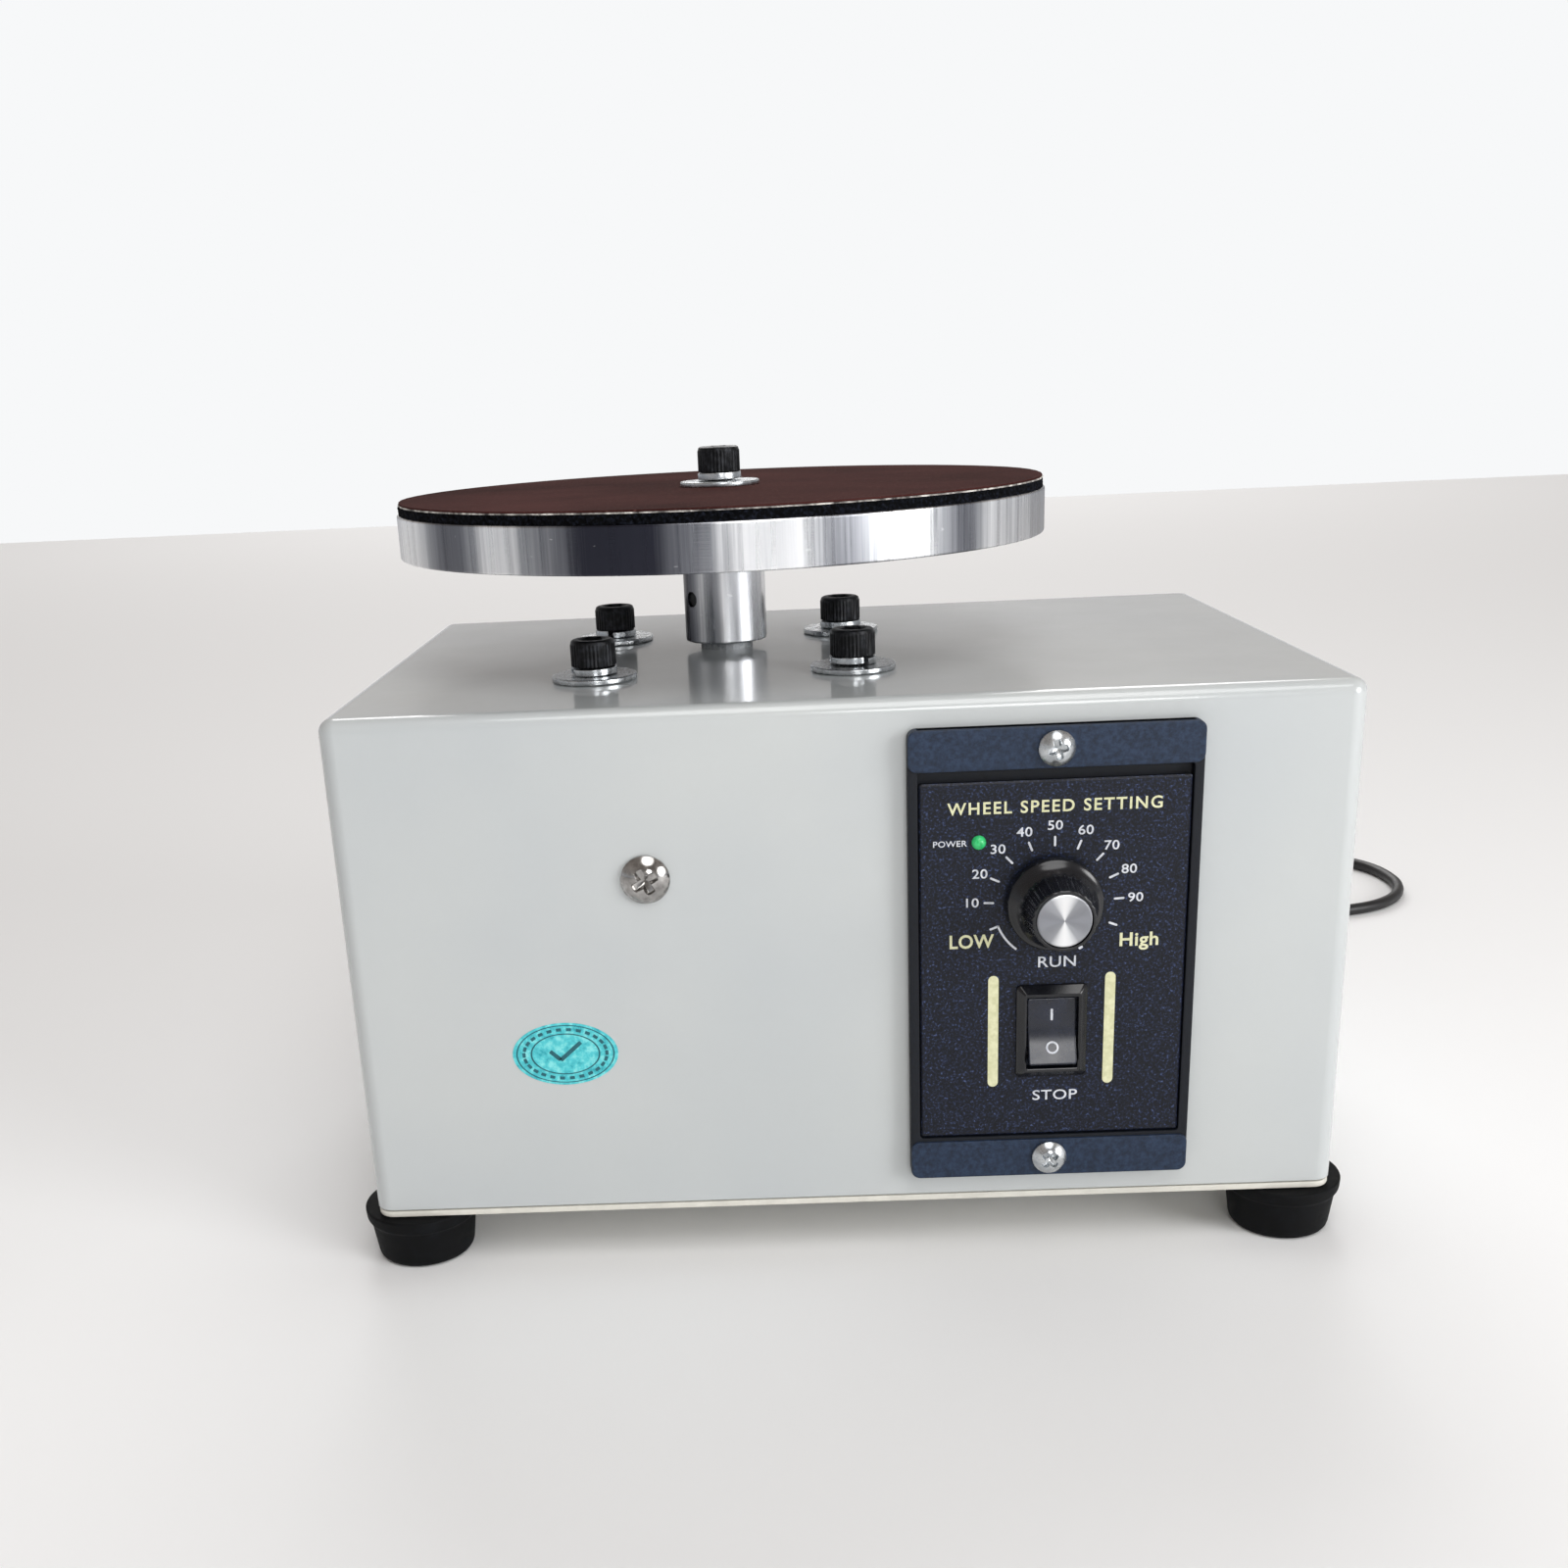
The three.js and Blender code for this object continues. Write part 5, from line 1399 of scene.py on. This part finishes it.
def addRockerMarks(settings, rocker):
    # I and O moulded on the two slopes, each following its slope: a bar, and a ring r (cos, sin).
    slope = math.atan2(rocker["end"] - rocker["valley"], rocker["half"])
    thick, away = settings["thick"], settings["along"]

    def onSlope(across, along, lift, side):
        inward = -rocker["valley"] - along * math.sin(slope) - lift
        return onRocker(across, side * (along * math.cos(slope)), inward)

    bar = roundedOutline(*settings["bar"], 4)[:-1]
    n = len(bar)
    levels = [onSlope(bar[:, 0], away + bar[:, 1], level, 1) for level in (thick, -thick)]
    sides = [(i, (i + 1) % n, (i + 1) % n + n, i + n) for i in range(n)]
    faces = [tuple(range(n - 1, -1, -1)), tuple(range(n, 2 * n))] + sides
    marks = [(np.concatenate(levels), faces)]
    count = settings["steps"]
    a = np.linspace(0, 2 * np.pi, count, endpoint=False)
    inner, outer = settings["ring"]
    rings = []
    for r, level in ((inner, thick), (outer, thick), (outer, -thick), (inner, -thick)):
        rings.append(onSlope(r * np.cos(a), away + r * np.sin(a), level, -1))
    faces = []
    for i in range(count):
        here, there = 4 * i, 4 * ((i + 1) % count)
        faces += [(here + k, here + (k + 1) % 4, there + (k + 1) % 4, there + k) for k in range(4)]
    marks.append((np.stack(rings, 1).reshape(-1, 3), faces))
    inkPiece("rockerMarks", marks, "whiteInk", "rocker")


addBezel(bezelSettings)
addRocker(rockerSettings)
addRockerMarks(markSettings, rockerSettings)
print("switch done")


# label
labelSettings = {
    "place": (-61.1, 51.2),
    "size": (23, 14.5),
    "thick": 0.08,
    "ink": (0.005, 0.04),  # from the foil to the ink's back and front
    "borders": ((0.93, 0.905), (0.66, 0.63)),  # shares of the label's size
    "dashes": 26,
    "dashRing": 0.785,
    "dash": (1.1, 0.7, 0.1),
    "tickStroke": (0.9, 0.2),
    # length, turn, place of each stroke's middle
    "tick": ((3.0, -0.75, -2.2, -0.3), (6.2, 0.72, 1.2, 0.6)),
}


def addLabel(settings):
    # Flat rings x = w cos a, z = h sin a; then dashes along an ellipse and two strokes of a tick,
    # in place of any words.
    front = box("housing_cover")[0][1]
    x, z = settings["place"]
    a = wholeTurn(96)

    def ellipse(w, h, y):
        return np.stack([x + w * np.cos(a), np.full(len(a), y), z + h * np.sin(a)], -1)

    w, h = np.array(settings["size"]) / 2
    face, back = front - settings["thick"], front - 0.01
    rows = [(0, 0, back), (w, h, back), (w, h, face), (0, 0, face)]
    mesh = surface("label", [np.array([ellipse(*r) for r in rows])])
    addPiece("ovalLabel", mesh, "foil", "housing")
    y1, y2 = [face - depth for depth in settings["ink"]]
    grids = []
    for outer, inner in settings["borders"]:
        section = ((outer, y1), (outer, y2), (inner, y2), (inner, y1), (outer, y1))
        grids.append(np.array([ellipse(w * share, h * share, y) for share, y in section]))

    def stroke(size, turn, dx, dz):
        flat = loft([(y1, *size), (y2, *size)], (0, 0, 0), "y")
        grids.append(turnedPart(flat, turn, x + dx, z + dz))

    ring = settings["dashRing"]
    for k in range(settings["dashes"]):
        t = 2 * np.pi * k / settings["dashes"]
        turn = math.atan2(h * math.cos(t), -w * math.sin(t))
        stroke(settings["dash"], turn, ring * w * math.cos(t), ring * h * math.sin(t))
    for length, turn, dx, dz in settings["tick"]:
        stroke((length, *settings["tickStroke"]), turn, dx, dz)
    addPiece("ovalLabelInk", surface("labelInk", grids), "foilInk", "housing")


addLabel(labelSettings)
print("label done")


# inside and carried-over parts
innerFinishes = {
    "steel": [
        "motor_stator", "output_bearing", "motor_bearing_upper", "motor_bearing_lower", "output_shaft",
        "output_gear", "layshaft", "layshaft_gear", "motor_shaft", "potentiometer", "potentiometer_shaft",
    ],
    "cast": ["gearbox_housing", "motor_flange", "motor_end_cap", "rotor_core"],
    "motorPaint": ["motor_can"],
    "copper": ["stator_winding"],
    "board": ["circuit_board"],
    "abs": ["controller_case"],
    "glossAbs": ["run_capacitor"],
    "blackSteel": ["hub_set_screw"],
    "zinc": ["foot_screw_" + corner for corner in corners],
}
for finish, nodes in innerFinishes.items():
    for node in nodes:
        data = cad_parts[node].data
        data.materials.clear()
        data.materials.append(finishes[finish])
print("inside finished")


# studio
studioSettings = {
    "floor": "#EDEEEF",
    "floorReach": 2.3,  # metres from the middle to each side
    "aim": (0, 0, 0.08),  # the middle of the box
    "backdrop": ("#F7F8F9", 1.0),
    # what the box and the metal see: bright round the sides, dimmer overhead
    "dome": [(0.0, "#D6D7D9"), (0.5, "#DCE0E6"), (0.58, "#BAB6B3"), (0.8, "#A8A09A"), (1.0, "#A69F99")],
    "domeStrength": 0.85,
    # name: place and size in metres, power in watts
    "lights": {
        "rightSoftbox": ((1.15, -0.8, 0.45), 0.7, 11),
        "overheadFront": ((0.12, -0.6, 1.1), 0.8, 5),
        "frontWindow": ((0.24, -1.35, 0.52), 0.4, 3),
        "backFloor": ((0, 3.2, 2.6), 3.0, 75),
    },
}


def addStudio(settings):
    reach = settings["floorReach"]
    mesh = bpy.data.meshes.new("floor")
    square = [(-reach, -reach, 0), (reach, -reach, 0), (reach, reach, 0), (-reach, reach, 0)]
    mesh.from_pydata(square, [], [(0, 1, 2, 3)])
    floor = bpy.data.objects.new("floor", mesh)
    bpy.context.scene.collection.objects.link(floor)
    made, tree, shader = startMaterial("floorPaper", Roughness=0.8)
    shader.inputs["Base Color"].default_value = linear(settings["floor"])
    mesh.materials.append(made)
    world = bpy.data.worlds.new("studio")
    bpy.context.scene.world = world
    bpy.context.scene.view_settings.view_transform = "Standard"
    world.use_nodes = True
    tree = world.node_tree
    dome = tree.nodes["Background"]
    place = addNode(tree, "ShaderNodeTexCoord").outputs["Generated"]
    height = addNode(tree, "ShaderNodeSeparateXYZ", {0: place}).outputs["Z"]
    share = addNode(tree, "ShaderNodeMapRange", {"Value": height, "From Min": -1.0, "From Max": 1.0})
    tree.links.new(ramp(tree, share.outputs["Result"], settings["dome"]), dome.inputs["Color"])
    dome.inputs["Strength"].default_value = settings["domeStrength"]
    colour, strength = settings["backdrop"]
    plain = addNode(tree, "ShaderNodeBackground", {"Color": linear(colour), "Strength": strength})
    seen = addNode(tree, "ShaderNodeLightPath").outputs["Is Camera Ray"]
    links = {0: seen, 1: dome.outputs[0], 2: plain.outputs[0]}
    both = addNode(tree, "ShaderNodeMixShader", links)
    tree.links.new(both.outputs[0], tree.nodes["World Output"].inputs["Surface"])
    for name, (place, width, power) in settings["lights"].items():
        data = bpy.data.lights.new(name, "AREA")
        data.shape = "DISK"
        data.size = width
        data.energy = power
        lamp = bpy.data.objects.new(name, data)
        bpy.context.scene.collection.objects.link(lamp)
        aim = (Vector(settings["aim"]) - Vector(place)).to_track_quat("-Z", "Y")
        lamp.matrix_world = Matrix.Translation(place) @ aim.to_matrix().to_4x4()


addStudio(studioSettings)
print("studio lit")
